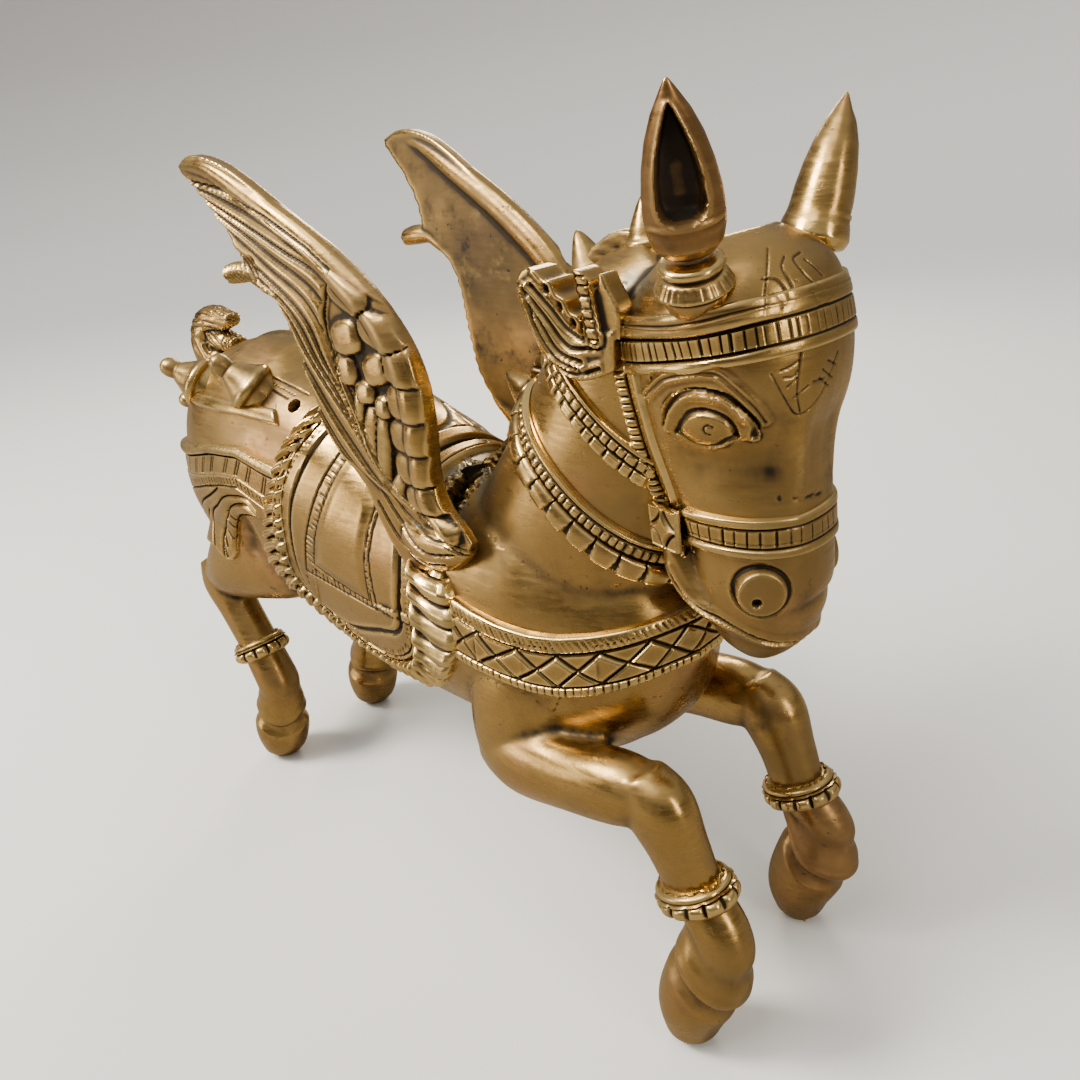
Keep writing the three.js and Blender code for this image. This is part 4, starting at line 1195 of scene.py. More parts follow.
def on_flank(skin, corners, step, side, even=0):
    """A belt between four corners, from the start's near edge round to its far one."""
    a, b, c, d = (np.array(p, float) for p in corners)
    length = (np.linalg.norm(b - a) + np.linalg.norm(c - d)) / 2
    wide = (np.linalg.norm(d - a) + np.linalg.norm(c - b)) / 2
    s, v = np.meshgrid(*(np.linspace(0, 1, int(size / step) + 2) for size in (length, wide)))
    ground = from_middle(skin, spread_between(corners, s, v), side)
    return evened(ground, even), s * length, v * wide, length, wide


# %% Cheek straps and strap bosses
strap_corners = [(217, 364), (229, 300), (244, 301), (233, 366)]
boss_corners = [(231, 280), (249, 280), (248, 301), (229, 301)]
for side, label in ((-1, "right"), (1, "left")):
    belt = on_flank(head_skin, strap_corners, 0.55, side, 8)
    _, s, v, length, wide = belt
    work = blocks(s, v, wide * 0.24, wide * 0.19, 3.7, 1.5, 5.0, gap=0.4, square=2.4)
    work += nick(v - wide * 0.47, 0.7, 1.6) + bead(v, wide * 0.75, wide * 0.24, 0.9)
    work += nick(v - 0.5, 0.6, 0.8) - 0.5 * (v < wide * 0.46)
    trim(f"{label}_cheek_strap_beaded", f"{label}_cheek_strap", belt, [240, 0, 330], 2.2 + work, 1.0,
         sink=2.0)

    # the boss is a stiff plate: its ground is flat, and only leans with the cheek
    belt = on_flank(head_skin, boss_corners, 0.45, side)
    ground, s, v, length, wide = belt
    ground[..., [0, 2]] = spread_between(boss_corners, s / length, v / wide)
    ground[..., 1] = side * (28.5 + 0.2 * (ground[..., 0] - 229))
    p, q = 2 * s / length - 1, 2 * v / wide - 1
    star = np.abs(p) ** 0.6 + np.abs(q) ** 0.6
    border = np.maximum(np.abs(p), np.abs(q))
    work = 1.3 * swell(1.12, 0.8, star) - 1.4 * swell(0.13, 0.0, np.abs(star - 1.16)) * (border < 0.86)
    work += 0.5 * swell(0.86, 0.92, border)
    trim(f"{label}_boss_starred", f"{label}_strap_boss", belt, [236, 0, 290], 2.6 + work, 1.2, sink=8)

# %% [markdown]
# Behind the saddle a crupper holds the harness under the tail: two bands round the rump, and on each
# flank a draped skirt of nested folds with a tongue of cross ridges.

# %% Crupper bands
rump_belt = lambda low, top, half_turn, rows: around(
    body_skin, [-130, 0, 0], [-1, 0, 0], between(low), between(top), (-half_turn, half_turn), 0.75, rows, 4)
belt = rump_belt([(-260, 290.5), (-160, 299.5), (-90, 300), (-36, 297)],
                 [(-260, 299.5), (-160, 308.5), (-90, 309), (-36, 306)], 147, 20)
_, s, v, length, wide = belt
work = bead(v, wide * 0.56, wide * 0.46, 2.2) + nick(v - 0.9, 0.8, 1.4)
trim("upper_crupper_chased", "upper_crupper_band", belt, [-130, 0, 250], 1.9 + work, 1.2)

belt = rump_belt([(-260, 236), (-165, 247), (-118, 258), (-93, 260), (-62, 251), (-50, 250)],
                 [(-260, 257), (-167, 270), (-127, 279.5), (-90, 282.5), (-62, 278), (-50, 276)], 144, 40)
_, s, v, length, wide = belt
work = bead(v, wide - 4.0, 4.0, 2.7) + nick(v - (wide - 8.3), 0.8, 1.9) + ticks(
    s, v, wide - 6.8, wide - 1.2, 1.7, 0.35, 7.0, slant=0.5, half=0.4)
for shift in (0, 2.6):
    work += ticks(s + shift, v, 2.2, wide - 9.6, 15.0, 1.3, 7.0, slant=0.55, half=0.7)
trim("lower_crupper_chased", "lower_crupper_band", belt, [-130, 0, 250], 2.9 + work, 1.2)

# %% Crupper skirts
strip_line = [(-225, 223), (-190, 230), (-165, 238), (-140, 245.5), (-116, 251), (-95, 254),
              (-71, 247.5), (-55, 243)]
fold_lines = [
    [(-190, 196), (-176, 214), (-158, 229), (-136, 240), (-122, 248)],
    [(-146, 190), (-146, 201), (-147, 218), (-140, 227), (-130, 233), (-118, 241.5), (-103, 246),
     (-86, 247), (-76, 241)],
    [(-134, 186), (-133, 206), (-127, 218), (-118, 228), (-112, 235), (-102, 240), (-88, 242),
     (-76, 235)],
    [(-121, 188), (-121, 196), (-119, 209), (-110, 225), (-102.5, 231), (-85, 235), (-70, 235)],
    [(-170, 190), (-163, 206), (-158, 216), (-148, 226)],
]
rib_lines = [[(-120, 226), (-115, 218.5)], [(-127, 216.5), (-121, 208)], [(-130, 210), (-127.5, 201)],
             [(-133, 203), (-129, 193)], [(-116, 232), (-109, 225)]]
fold_paths = [smooth_path(line, 60) for line in fold_lines]
low = between([(-215, 226), (-206, 219), (-190, 204), (-170, 194), (-154, 196), (-142, 194),
               (-134, 189.5), (-126, 190), (-121, 196), (-118.5, 209), (-110, 224), (-102.5, 230),
               (-85, 234), (-62, 235)])
top = between([(-215, 240), (-165, 250), (-118, 259.5), (-93, 261.5), (-62, 254)])
nearest = lambda lines: np.minimum.reduce([np.abs(beside(line, x, z)) for line in lines])
for side, label in ((-1, "right"), (1, "left")):
    ground, s, v, length, wide = around(body_skin, [-128, 0, 0], [1, 0, 0], low, top,
                                        (side * 143, side * 44), 0.7, 100, 4)
    x, z = ground[..., 0], ground[..., 2]
    share = np.linspace(0, 1, ground.shape[0])[:, None] * np.ones_like(x)
    to_fold, to_rib, above = nearest(fold_paths), nearest(rib_lines), beside(strip_line, x, z)
    below = swell(0.4, -0.4, above)
    work = below * (2.4 * rounded(to_fold, 3.4) - 0.9)
    work += below * (nick(to_fold, 0.7, 0.9) + nick(to_rib, 0.9, 1.3)) + nick(above, 0.7, 1.4)
    work += (1 - below) * 1.2 + ticks(s, above, 0.8, 6.2, 4.4, 0.9, 3.0, slant=0.3, half=0.5)
    near = np.minimum(np.minimum(share, 1 - share) * (top(x) - low(x)), np.minimum(s, length - s))
    piece = lay(f"{label}_skirt_draped", ground, [-128, 0, 225], (2.3 + work) * rounded(near, 1.6) - SEAT)
    done(piece, cast_brass, "aged_brass", f"{label}_crupper_skirt")

# %% [markdown]
# Each leg wears an anklet: a plain collar above a ring of gadroons, each gadroon a swelling block. It is
# a closed belt round the leg, in a plane that tilts with the leg.

# %% Anklets
GADROONS = 13
for side, label in ((-1, "right"), (1, "left")):
    for leg, x, y, z, tilt in (("fore", 266, 51.5, 101, -0.36), ("hind", -154, 46.5, 99, -0.42)):
        size = math.hypot(tilt, 1)
        up = np.array([tilt, 0, 1]) / size
        forward = np.array([1, 0, -tilt]) / size
        belt = around(body_skin, [x, side * y, z], forward, -7.5, 7.5, (-180, 180), 0.7, 30, 6, up, True)
        _, s, v, length, wide = belt
        s = s * GADROONS / length
        own = own_of(np.floor(s), z)
        lobe = np.clip(1 - np.abs(2 * (np.mod(s, 1) - 0.5)) ** 3.2, 0, 1) ** 0.5
        work = bead(v, wide - 3.0, 3.0, 4.6) + bead(v, wide * 0.36, wide * 0.34, 1) * (
            2.2 + (3.8 + own) * lobe)
        trim(f"{label}_{leg}_anklet_gadrooned", f"{label}_{leg}_anklet", belt, [x, side * y, z],
             1.0 + work + nick(v - (wide - 6.2), 0.7, 0.8), 0.8, ends=False, seat=0.3, closed=True,
             sink=1.5)

# %% [markdown]
# A wing is a cast plate behind a thick smooth leading bar. It is cut from its outline, given its wall,
# and melted with the bar, the root on the shoulder and the curl at its back by a fine remesh. Its outer
# edge is ragged, because every strand ends in a small point.

# %% A plate from an outline
def plate(name, outline, y_low, y_high):
    """An outline, x and z in the side view, carried from y_low to y_high."""
    piece = fresh(name, bpy.ops.mesh.primitive_circle_add, vertices=len(outline), radius=1,
                  fill_type="NGON")
    write(piece, [[x, y_low, z] for x, z in outline])
    deep = (y_high - y_low) / 1000
    edit(piece, everything,
         lambda: bpy.ops.mesh.extrude_region_move(TRANSFORM_OT_translate={"value": (0, deep, 0)}))
    return face_out(piece)


# %% The wing's outline
ALONG, ACROSS, TIP = (0.47, 0.88), (-0.88, 0.47), 5.4


def feathered(path):
    """A torn edge with a small point every few millimetres."""
    q = ALONG[0] * path[:, 0] + ALONG[1] * path[:, 1]
    end = np.abs(np.sin(np.pi * q / TIP)) ** 0.7
    return path + np.outer(2.6 * end, ACROSS)


leading = smooth_path([
    (-58, 459), (-44, 464), (-16, 460), (33, 434), (68, 414), (94, 393), (111, 370), (117, 350),
    (117, 326), (115, 300), (121, 284), (131, 275), (136, 268)], 70)
under = smooth_path([(136, 268), (127, 256), (110, 247), (92, 241), (76, 241), (62, 258),
                        (50, 284)], 20)
ragged = smooth_path([(50, 284), (34, 300), (24, 316), (19, 336), (16, 352), (13, 368), (6, 382),
                         (-6, 392)], 90)
torn = smooth_path([(-20, 405), (-24, 418), (-30, 428), (-42, 442), (-56, 454)], 50)
wing_outline = np.vstack([leading, under[1:], feathered(ragged)[1:], feathered(torn)])
bar_stations = [
    [-54, -1, 459, 3, 3], [-28, -1, 456, 5, 5.5], [10, -1, 438, 6.5, 7.5], [58, -1, 411, 7, 8.5],
    [94, -1, 381, 7, 9], [108, -1, 346, 6.5, 8.5], [107, -1, 314, 6, 8], [109, -1, 286, 5, 7],
    [124, -1, 270, 4.5, 5],
]
root_stations = [[80, 0, 262, 6, 9], [94, 0, 257, 8.5, 13], [108, 0.5, 258, 9.5, 14],
                 [121, 0.5, 262, 8.5, 11], [131, 0.5, 266, 5.5, 6]]
curl_stations = [[-43, -1, 398, 5.5, 5.5], [-32, -1, 400, 6.3, 6.3], [-18, -1, 400, 5.2, 5.2],
                 [-6, -1, 394, 4.5, 4.5], [8, -1, 389, 3, 3]]
wing = melted(joined("wing_plate", plate("wing_blade", wing_outline, -3.5, 3.5),
                     casting("wing_bar", bar_stations, around=24, steps=6),
                     casting("wing_root", root_stations, around=32, steps=6),
                     casting("wing_curl", curl_stations, around=24, steps=6)), 1.05, 3)
print("wing faces", len(wing.data.polygons))

# %% [markdown]
# On the outer face long strands fan from the root to the tip. A few guide lines were read along them.
# Between two guides a point's place is shared out evenly, so the strands bend as the guides do.

# %% Strands that follow the wing
guides = [
    (0, [(-70, 454), (-18, 446), (20, 433), (51, 418), (68, 406), (84, 396)]),
    (13, [(-72, 448), (-51, 445), (-16, 432), (25, 415), (50, 405), (62, 392), (66, 380)]),
    (25, [(-60, 440), (-26, 425), (6, 405.5), (32, 390), (42, 375), (45, 359), (49, 340), (56, 322)]),
    (36, [(-50, 424), (-25, 411), (8, 392), (27, 375.5), (36, 355), (47, 340), (55, 322), (62, 302)]),
    (47, [(-34, 406), (5, 384), (21.5, 357), (37, 337), (57, 314), (68, 298), (84, 282)]),
    (60, [(-6, 372), (13, 345), (26, 322), (40, 304), (66, 284), (96, 268), (140, 250)]),
    (74, [(-20, 350), (0, 325), (18, 304), (34, 286), (62, 270), (98, 254), (140, 240)]),
]


def strand(x, z):
    """How far down the fan of strands a point lies, in millimetres."""
    paths = [(at, beside(smooth_path(line, 40)[::-1], x, z)) for at, line in guides]
    place = paths[0][1] + guides[0][0]
    for (low, a), (high, b) in zip(paths[:-1], paths[1:]):
        share = np.clip(a / np.where(np.abs(a - b) < 1e-6, 1e-6, a - b), 0, 1)
        place = np.where(a > 0, low + (high - low) * share, place)
    return place


def cushion(x, z, centre, half, tilt=0.0):
    """1 in the middle of a cushioned scale, 0 at its edge."""
    c, s = math.cos(math.radians(tilt)), math.sin(math.radians(tilt))
    a = ((x - centre[0]) * c + (z - centre[1]) * s) / half[0]
    b = (-(x - centre[0]) * s + (z - centre[1]) * c) / half[1]
    return np.clip(1 - np.abs(a) ** 3.0 - np.abs(b) ** 3.0, 0, 1)


# %% [markdown]
# Between the strands' spine and the leading bar lie cushioned scales. Where two of them are equally
# high, a narrow seam is cut. Both fade out towards the smooth root, and the inner face stays plain.

# %% Strands and scales on the wing's outer face
STRAND = 6.6
p = read(wing)
x, z = p[:, 0], p[:, 2]
outer = swell(-0.5, -2.5, p[:, 1])
spine = smooth_path([(60, 404), (52.5, 394.5), (45, 380.5), (44, 370), (48, 354), (54, 340),
                        (60, 325), (66, 310), (75, 294), (99, 277), (140, 256)], 120)
bar_edge = [(-60, 452), (-18, 446), (20, 433), (51, 418), (68, 406), (80, 400), (96, 391), (120, 380)]
past_spine, past_bar = beside(spine[::-1], x, z), beside(bar_edge, x, z)
local, own = cells(strand(x, z), STRAND, 2.0, wander=0.13)
fold = dome(2 * np.clip(local / STRAND + 0.5, 0, 1)**1.5 - 1)
feathers = 3.0 * fold - 1.5 + 0.6 * nick(local - 1.4, 0.55, 1.0) + 0.4 * nick(
    local + 1.2, 0.5, 0.8) + 0.9 * (own - 0.5)
scale_spots = [
    ((72, 395), (18.5, 10.5), -22), ((92, 377), (18.5, 10.8), -12), ((107, 359.5), (19.5, 10.6), 2),
    ((107, 341), (20.5, 10.9), 5), ((105, 322.5), (20.5, 10.4), 5), ((104, 304.5), (19.5, 10.4), 6),
    ((107, 288), (17, 9.0), 8), ((116, 274), (14, 6.5), -18), ((61, 371), (12, 9.5), 12),
    ((55.5, 353), (8.5, 9), 6), ((82, 356), (11, 8.6), 18), ((69, 342), (8, 6.6), 10),
    ((82.5, 335.5), (6, 6.5), 5), ((66.5, 313.5), (6.4, 22.5), -16), ((77.5, 312.5), (5.4, 21), -10),
    ((62, 333), (4.2, 11), -14), ((84, 290), (5, 12), -38),
]
first, second, scales = (np.zeros_like(x) for _ in range(3))
for centre, half, tilt in scale_spots:
    mine = cushion(x, z, centre, half, tilt)
    lower = np.clip(0.5 - (z - centre[1]) / half[1] / 2, 0, 1)
    scales = np.where(mine > first, (0.7 + 0.45 * lower) * mine**0.36, scales)
    second = np.where(mine > first, first, np.maximum(second, mine))
    first = np.maximum(first, mine)
seam = swell(0.16, 0.0, first - second) * swell(0.0, 0.1, second)

# %% Chase the wing's outer face
in_feathers = swell(0.5, 2.5, past_spine) * swell(0.5, -1.5, past_bar)
in_scales = swell(-0.5, -2.0, past_spine) * swell(2.0, 0.0, past_bar)
root = swell(276, 266, z + 0.35 * (x - 110))
lines = nick(past_spine, 1.0, 1.7) + nick(past_spine + 3.2, 0.8, 1.3) * (z < 372)
work = in_feathers * feathers * (1 - root) + in_scales * (5.0 * scales - 1.5 - 3.2 * seam) * (1 - root)
work += lines * swell(1.0, -1.0, past_bar) * (x < 142)
for line in ([(72, 290), (86, 274), (104, 266), (122, 266)], [(66, 284), (82, 266), (102, 257), (124, 260)],
             [(60, 276), (76, 256), (96, 249), (116, 252)]):
    work += nick(np.abs(beside(smooth_path(line, 20), x, z)), 1.0, 1.8)
work += nick(past_bar, 1.0, 1.6) * (x < 66)
rope = swell(-6, -10, x) * swell(412, 408, z) * (x > -60)
work = work * (1 - rope) + rope * 0.9 * np.sin((x * 0.8 + z * 0.6) * 1.9)
p[:, 1] -= outer * work
# the wing stands off the shoulder, and leans out more and more towards its tip
ROOT_AT, LEAN, FOOT, SPAN = 61, 13, 252, 208
share = np.clip((z - FOOT) / SPAN, 0, None)
p[:, 1] += 1.5 * root
stand = ROOT_AT + LEAN * share**3
p[:, 1] -= stand
write(wing, p)
# the inner face was never polished, so it keeps the brown of the casting
UNPOLISHED = 0.13
relief = measure(wing, 4) - UNPOLISHED * swell(-0.5, 1.0, p[:, 1] + stand - 1.5 * root)
keep(wing, "relief", relief)


# %% A piece for each side
def both_sides(piece, name, node, material, slot, rounds=5):
    """Hands over a right piece and its mirror image on the left."""
    twin = mirror(copied(piece, f"left_{name}"))
    piece.name = piece.data.name = f"right_{name}"
    done(piece, material, slot, f"right_{node}", rounds=rounds)
    done(twin, material, slot, f"left_{node}", rounds=rounds)


both_sides(wing, "wing_chased", "wing", cast_brass, "aged_brass")

# %% [markdown]
# Cones, buds and ear rings were turned in wax. A ball's rings are laid along the profile, from one end
# to the other, and the blocks are swelled out of it afterwards.

# %% Turn a form on its own axis
def turned(name, profile, place, axis, segments, per_mm=1.3, swelling=None, round_off=2):
    """profile is radius and height along the axis; swelling(angle, height) adds to the radius."""
    profile = np.array(profile, float)
    run = run_of(profile)
    rings = max(12, int(run[-1] * per_mm))
    even_run = np.linspace(0, run[-1], rings + 2)
    radius, height = (np.interp(even_run, run, profile[:, k]) for k in (0, 1))
    for _ in range(round_off):
        for line in (radius, height):
            line[1:-1] = 0.5 * line[1:-1] + 0.25 * (line[:-2] + line[2:])
    piece, x, y, z = ball(name, segments, rings + 1)
    ring = np.round((1 - np.arccos(np.clip(z, -1, 1)) / math.pi) * (rings + 1)).astype(int)
    angle = np.arctan2(y, x)
    r, h = radius[ring], height[ring]
    if swelling is not None:
        r = r + swelling(angle, h) * (r > 0.01)
    axis = unit(np.asarray(axis, float))
    first = unit(np.cross(axis, [0.3, 1, 0.2]))
    second = np.cross(axis, first)
    points = np.asarray(place, float) + np.outer(h, axis)
    points += np.outer(r * np.cos(angle), first) + np.outer(r * np.sin(angle), second)
    write(piece, points)
    return face_out(piece)


# %% Cones on the crest and the poll
r, h = 11, 21
cone = [[0, -9], [r * 0.96, -9], [r, -2], [r * 1.06, -0.4], [1.04 * r, 1.2], [0.9 * r, 2.2],
        [0.84 * r, 3.6], [0.72 * r, 7.5], [0.52 * r, 12.5], [0.3 * r, 17.5], [0.12 * r, h - 0.6], [0, h]]
for node, place, axis in (("crest_cone", (128, 0, 331), (-0.86, 0, 0.5)),
                          ("upper_crest_cone", (177, 0, 399), (-0.4, 0, 0.9)),
                          ("poll_cone", (212, 0, 414), (-0.1, 0, 1))):
    done(turned(f"{node}_turned", cone, place, axis, 44), cast_brass, "bright_brass", node, rounds=4)

# %% [markdown]
# Six buds stand on the rump in three pairs. Each has a wide foot, a waist and a round knob, like a
# turned bell handle, and the rear pair is a little smaller.

# %% Buds on the rump
def bud(size):
    r, h = 16.5 * size, 33 * size
    return [[0, -11], [0.8 * r, -11], [0.9 * r, -2], [1.06 * r, -0.5], [1.1 * r, 2.0 * size],
            [1.04 * r, 4.2 * size], [0.88 * r, 0.2 * h], [0.7 * r, 0.34 * h], [0.56 * r, 0.46 * h],
            [0.46 * r, 0.55 * h], [0.37 * r, 0.6 * h], [0.4 * r, 0.66 * h], [0.42 * r, 0.78 * h],
            [0.36 * r, 0.9 * h], [0.2 * r, 0.98 * h], [0, h]]


for where, place, axis, size in (("front", (-90, -42, 317), (-0.5, -0.5, 0.7), 1.0),
                                 ("middle", (-158, -42, 312), (-0.76, -0.46, 0.46), 1.0),
                                 ("rear", (-190, -25, 286), (-0.95, -0.3, 0.15), 0.85)):
    both_sides(turned("bud", bud(size), place, axis, 52), f"{where}_bud_turned", f"{where}_rump_bud",
               cast_brass, "bright_brass")

# %% [markdown]
# The tail is a tuft that stands up from the dock and bends forward, with a short stub below the bend. Its
# skin is drawn into hair strands that wind a little round it, and the stub's end is tied with cuts.

# %% Tail
tail_stations = [[-188, 0, 298, 14, 17], [-208, 0, 313, 14, 16.5], [-214, 0, 328, 13.5, 15],
                 [-208, 0, 341, 12, 12], [-196, 0, 345.5, 10, 9.5], [-184, 0, 345.5, 8.5, 7],
                 [-173, 0, 347, 6.5, 4.5]]
stub_stations = [[-214, 0, 327, 9, 10], [-200, 0, 330, 9.5, 9], [-185, 0, 329, 9, 7],
                 [-172, 0, 328, 8, 5.8]]
tail = melted(joined("tail_tuft", casting("tail_column", tail_stations, 2.2, 64, 10),
                     casting("tail_stub", stub_stations, 2.2, 48, 10)), 1.0, 4)
p, out = read(tail), normals(tail)
STEPS = 200
ways = [curve(table, np.linspace(0, 1, STEPS))[:, :3] for table in (tail_stations, stub_stations)]
reach = [np.sqrt(((p[:, None, [0, 2]] - way[None, :, [0, 2]]) ** 2).sum(2)) for way in ways]
on_stub = (reach[1].min(1) < reach[0].min(1)) & (p[:, 0] > -200)
work = np.zeros(len(p))
for way, gap, mine in zip(ways, reach, (~on_stub, on_stub)):
    nearest_step = np.argmin(gap, 1)
    off = p - way[nearest_step]
    turn = np.arctan2(off[:, 1], off[:, 0] * 0.3 + off[:, 2] * 0.9)
    hair = turn * 5 / math.pi + nearest_step / STEPS * 3 + 0.5 * np.sin(nearest_step / 21 + turn * 3)
    lock = np.abs(np.mod(hair, 1) - 0.5) * 2
    work += mine * (0.9 * (1 - lock**2.2) - 0.7 + 0.25 * np.sin(hair * 2 * math.pi * 3))
work += on_stub * (p[:, 0] > -186) * nick(cells(p[:, 0], 4.2, 2.0)[0], 0.6, 0.9)
write(tail, p + out * work[:, None])
face_out(tail)
done(tail, cast_brass, "bright_brass", "tail", rounds=5)

# %% [markdown]
# The mane stands as a cast ridge along the crest, with short locks cut across it. It is old dark metal,
# since the neck hides it from every polishing cloth.

# %% Mane ridge
LOCK = 7.5
crest = [(86, 286), (104, 298), (122, 326), (140, 356), (160, 386), (178, 408), (196, 419), (212, 420)]
mane_outline = np.vstack([smooth_path(crest, 60), [(212, 380), (150, 330), (112, 270)]])
mane = melted(plate("mane_locks", mane_outline, -6, 6), 1.2, 4)
p, out = read(mane), normals(mane)
depth = -beside(crest, p[:, 0], p[:, 2])
along = p[:, 0] * 0.55 + p[:, 2] * 0.83
local, _ = cells(along + 0.5 * np.abs(p[:, 1]) - 0.7 * np.clip(depth, 0, 20), LOCK, 1.0)
work = 1.8 * dome(2 * local / LOCK) - 1.2
work += 0.5 * nick(cells(along - 0.7 * depth, 2.5, 4.0)[0], 0.6, 1.0)
p += out * (work * swell(16, 8, np.abs(depth)) * (1 - 0.75 * swell(160, 182, p[:, 0])))[:, None]
write(mane, p)
done(mane, dark_brass, "dark_brass", "mane_ridge", rounds=5)

# %% [markdown]
# The leaf plumes by the ears are thick plates: a leaf with veins, pits and a broken edge, a strap cut
# into rungs like a ladder, and a small pointed blade in front of it.

# %% The plume's plates
leaf_outline = smooth_path([
    (222, 366), (211, 361), (201, 359), (190, 363), (181, 369.5), (177, 376), (173, 384), (169.5, 392),
    (168, 400), (171, 406), (176, 408.5), (182, 408)], 60)
broken = smooth_path([(182, 408), (187, 404), (191, 404), (193.5, 398.5), (198, 396), (201, 390.5),
                         (205, 389), (208, 383), (215, 382), (223, 383)], 60)
strap_outline = [(203.5, 409.5), (208, 408.5), (212.5, 405), (215, 394), (217.5, 381), (209, 379),
                 (207, 394)]
blade_outline = smooth_path([(217, 380), (215, 395), (216.5, 408), (221, 401), (226, 392),
                                (226, 380)], 30)
leaf = melted(joined("leaf", plate("leaf_blade", np.vstack([leaf_outline, broken[1:]]), -42, -29),
                     plate("leaf_strap", strap_outline, -43, -30),
                     plate("leaf_small", blade_outline, -41, -30)), 0.8, 4)

# %% Leaf plumes
veins = [[(173, 399), (181, 379), (192, 367), (203, 364)], [(176, 393), (184, 382), (191, 372), (204, 368)],
         [(174, 399), (187, 385), (194, 377), (199, 374), (207, 374.5), (216, 376)],
         [(178, 401), (189, 391), (198, 382), (206, 379), (215, 380)], [(186, 366), (200, 362), (214, 366)]]
p = read(leaf)
x, z = p[:, 0], p[:, 2]
work = 2.2 * swell(5.5, 1.5, np.abs(beside(broken, x, z))) * (x < 206)
for hole in ((187, 400), (194, 392.5), (201.5, 385.5)):
    work -= 3.0 * swell(2.6, 1.6, np.hypot(x - hole[0], z - hole[1]))
for vein in veins:
    gap = np.abs(beside(smooth_path(vein, 40), x, z))
    work += (nick(gap, 1.2, 1.6) + 0.9 * swell(4.5, 2.0, gap) * swell(0.6, 1.8, gap)) * (x < 216)
from_strap = np.abs(beside([(208, 409), (213, 380)], x, z))
on_strap = swell(5.2, 4.4, from_strap)
rung, _ = cells(z, 4.6, 1.0)
work = work * (1 - on_strap) + on_strap * (
    1.8 + nick(rung, 0.7, 1.3) * swell(3.0, 2.2, from_strap) + nick(from_strap - 3.0, 0.6, 1.4))
p[:, 1] -= swell(-37, -40, p[:, 1]) * work
p[:, 1] -= 2.0 * swell(214, 172, x) * (p[:, 1] < -33)
write(leaf, p)
both_sides(leaf, "leaf_plume", "plume", cast_brass, "bright_brass", rounds=4)

# %% [markdown]
# An ear is a hollow drop on a fluted ring. A ball is stretched to the drop, and the part of its front
# that lies inside the lip is pushed in to make the cup, so the lip stays thick and smooth.

# %% Ears
EAR_AXIS = np.array([math.tan(math.radians(5)), -math.tan(math.radians(17)), 1.0])
EAR_HIGH = 67
ear_width = between([(0, 7), (2, 10.5), (6, 13.8), (12, 15.3), (19, 15.7), (26, 15.2), (36, 13.6),
                     (46, 11), (55, 7.4), (62, 3.4), (66, 1), (EAR_HIGH, 0)])
# the hollow's outline sits off the middle, with the broad lip on the forehead side
hollow_width = between([(17, 0), (17.8, 5.5), (20, 8.6), (25, 9.8), (33, 9.4), (42, 7.6), (50, 5.0),
                        (57, 2.0), (60, 0)])


def make_ear(name, foot, stout=0.0):
    piece, x, y, z = ball(name, 112, 91)
    h = EAR_HIGH * (np.arccos(np.clip(-z, -1, 1)) / math.pi)
    angle = np.arctan2(y, x)
    w = ear_width(h) + stout * swell(20, 0, h) * np.sqrt(np.clip(h / 2, 0, 1))
    across, deep = w * np.sin(angle), 0.82 * w * np.cos(angle)
    front = np.cos(angle) > 0
    inner = hollow_width(h)
    inside = (inner - np.abs(across + 0.6)) * (inner > 0)
    pushed = swell(0.0, 2.6, inside) * front
    floor = deep - 10 * swell(15, 22, h)
    soft = dome((across + 0.6) / np.maximum(inner, 1))
    deep = deep + pushed * (np.minimum(floor, deep - 1) - deep) * (0.35 + 0.65 * soft)
    lip = swell(2.6, 0, np.abs(inside)) * front * (h > 15) * (h < 60)
    deep = deep + 0.9 * lip
    c, s = math.cos(math.radians(-52)), math.sin(math.radians(-52))
    local = np.stack([deep * c - across * s, deep * s + across * c, h], -1)
    upright = Vector((0, 0, 1)).rotation_difference(Vector(EAR_AXIS)).to_matrix()
    write(piece, local @ np.array(upright).T + np.asarray(foot, float) + EAR_AXIS * 15.5)
    face_out(piece)
    modify(piece, "SMOOTH", factor=0.4, iterations=2)
    # dark inside the cup, where shade is painted, and never darker than the castings outside it
    relief = np.clip(measure(piece, 8), -0.1, 1) - 0.1 * swell(0.3, 1.0, pushed) * swell(0.2, 0.9, soft)
    keep(piece, "relief", relief)
    return piece


# %% The rings under the ears
FLUTES = 25


def fluted(angle, h):
    local = np.mod(angle / (2 * math.pi) * FLUTES + 0.2 * np.sin(3 * angle), 1) - 0.5
    band = swell(2.8, 4.2, h) * swell(9.2, 8.2, h)
    return band * (1.1 * np.clip(1 - np.abs(2 * local) ** 5, 0, 1) ** 0.5 - 0.9)


def make_ring(name, foot):
    profile = [[0, -14], [9, -14], [11, -6], [12.6, -2], [13.4, 0.4], [13, 1.4], [14, 2.4], [16.2, 3.2],
               [15.8, 4.6], [14.2, 7.2], [13, 9.2], [11.2, 9.8], [11, 10.6], [12.8, 11.2], [13.6, 12.6],
               [13.4, 14], [11.8, 15.3], [8, 16], [0, 16]]
    return turned(name, profile, foot, unit(EAR_AXIS), 144, 1.4, fluted, round_off=1)


high_foot, low_foot = (266, -41, 402.5), (267, -38, 389.5)
done(make_ear("right_ear_cup", high_foot), ruddy_brass, "aged_brass", "right_ear")
done(make_ring("right_ear_ring_fluted", high_foot), chased_brass, "bright_brass", "right_ear_ring")
done(mirror(make_ear("left_ear_cup", low_foot, 6.5)), cast_brass, "aged_brass", "left_ear")
done(mirror(make_ring("left_ear_ring_fluted", low_foot)), chased_brass, "bright_brass", "left_ear_ring")

# %% [markdown]
# The photograph looks at the horse from its right front and a little above. The camera stands where
# the hooves, eyes and wings of the photograph fall on those of the model.

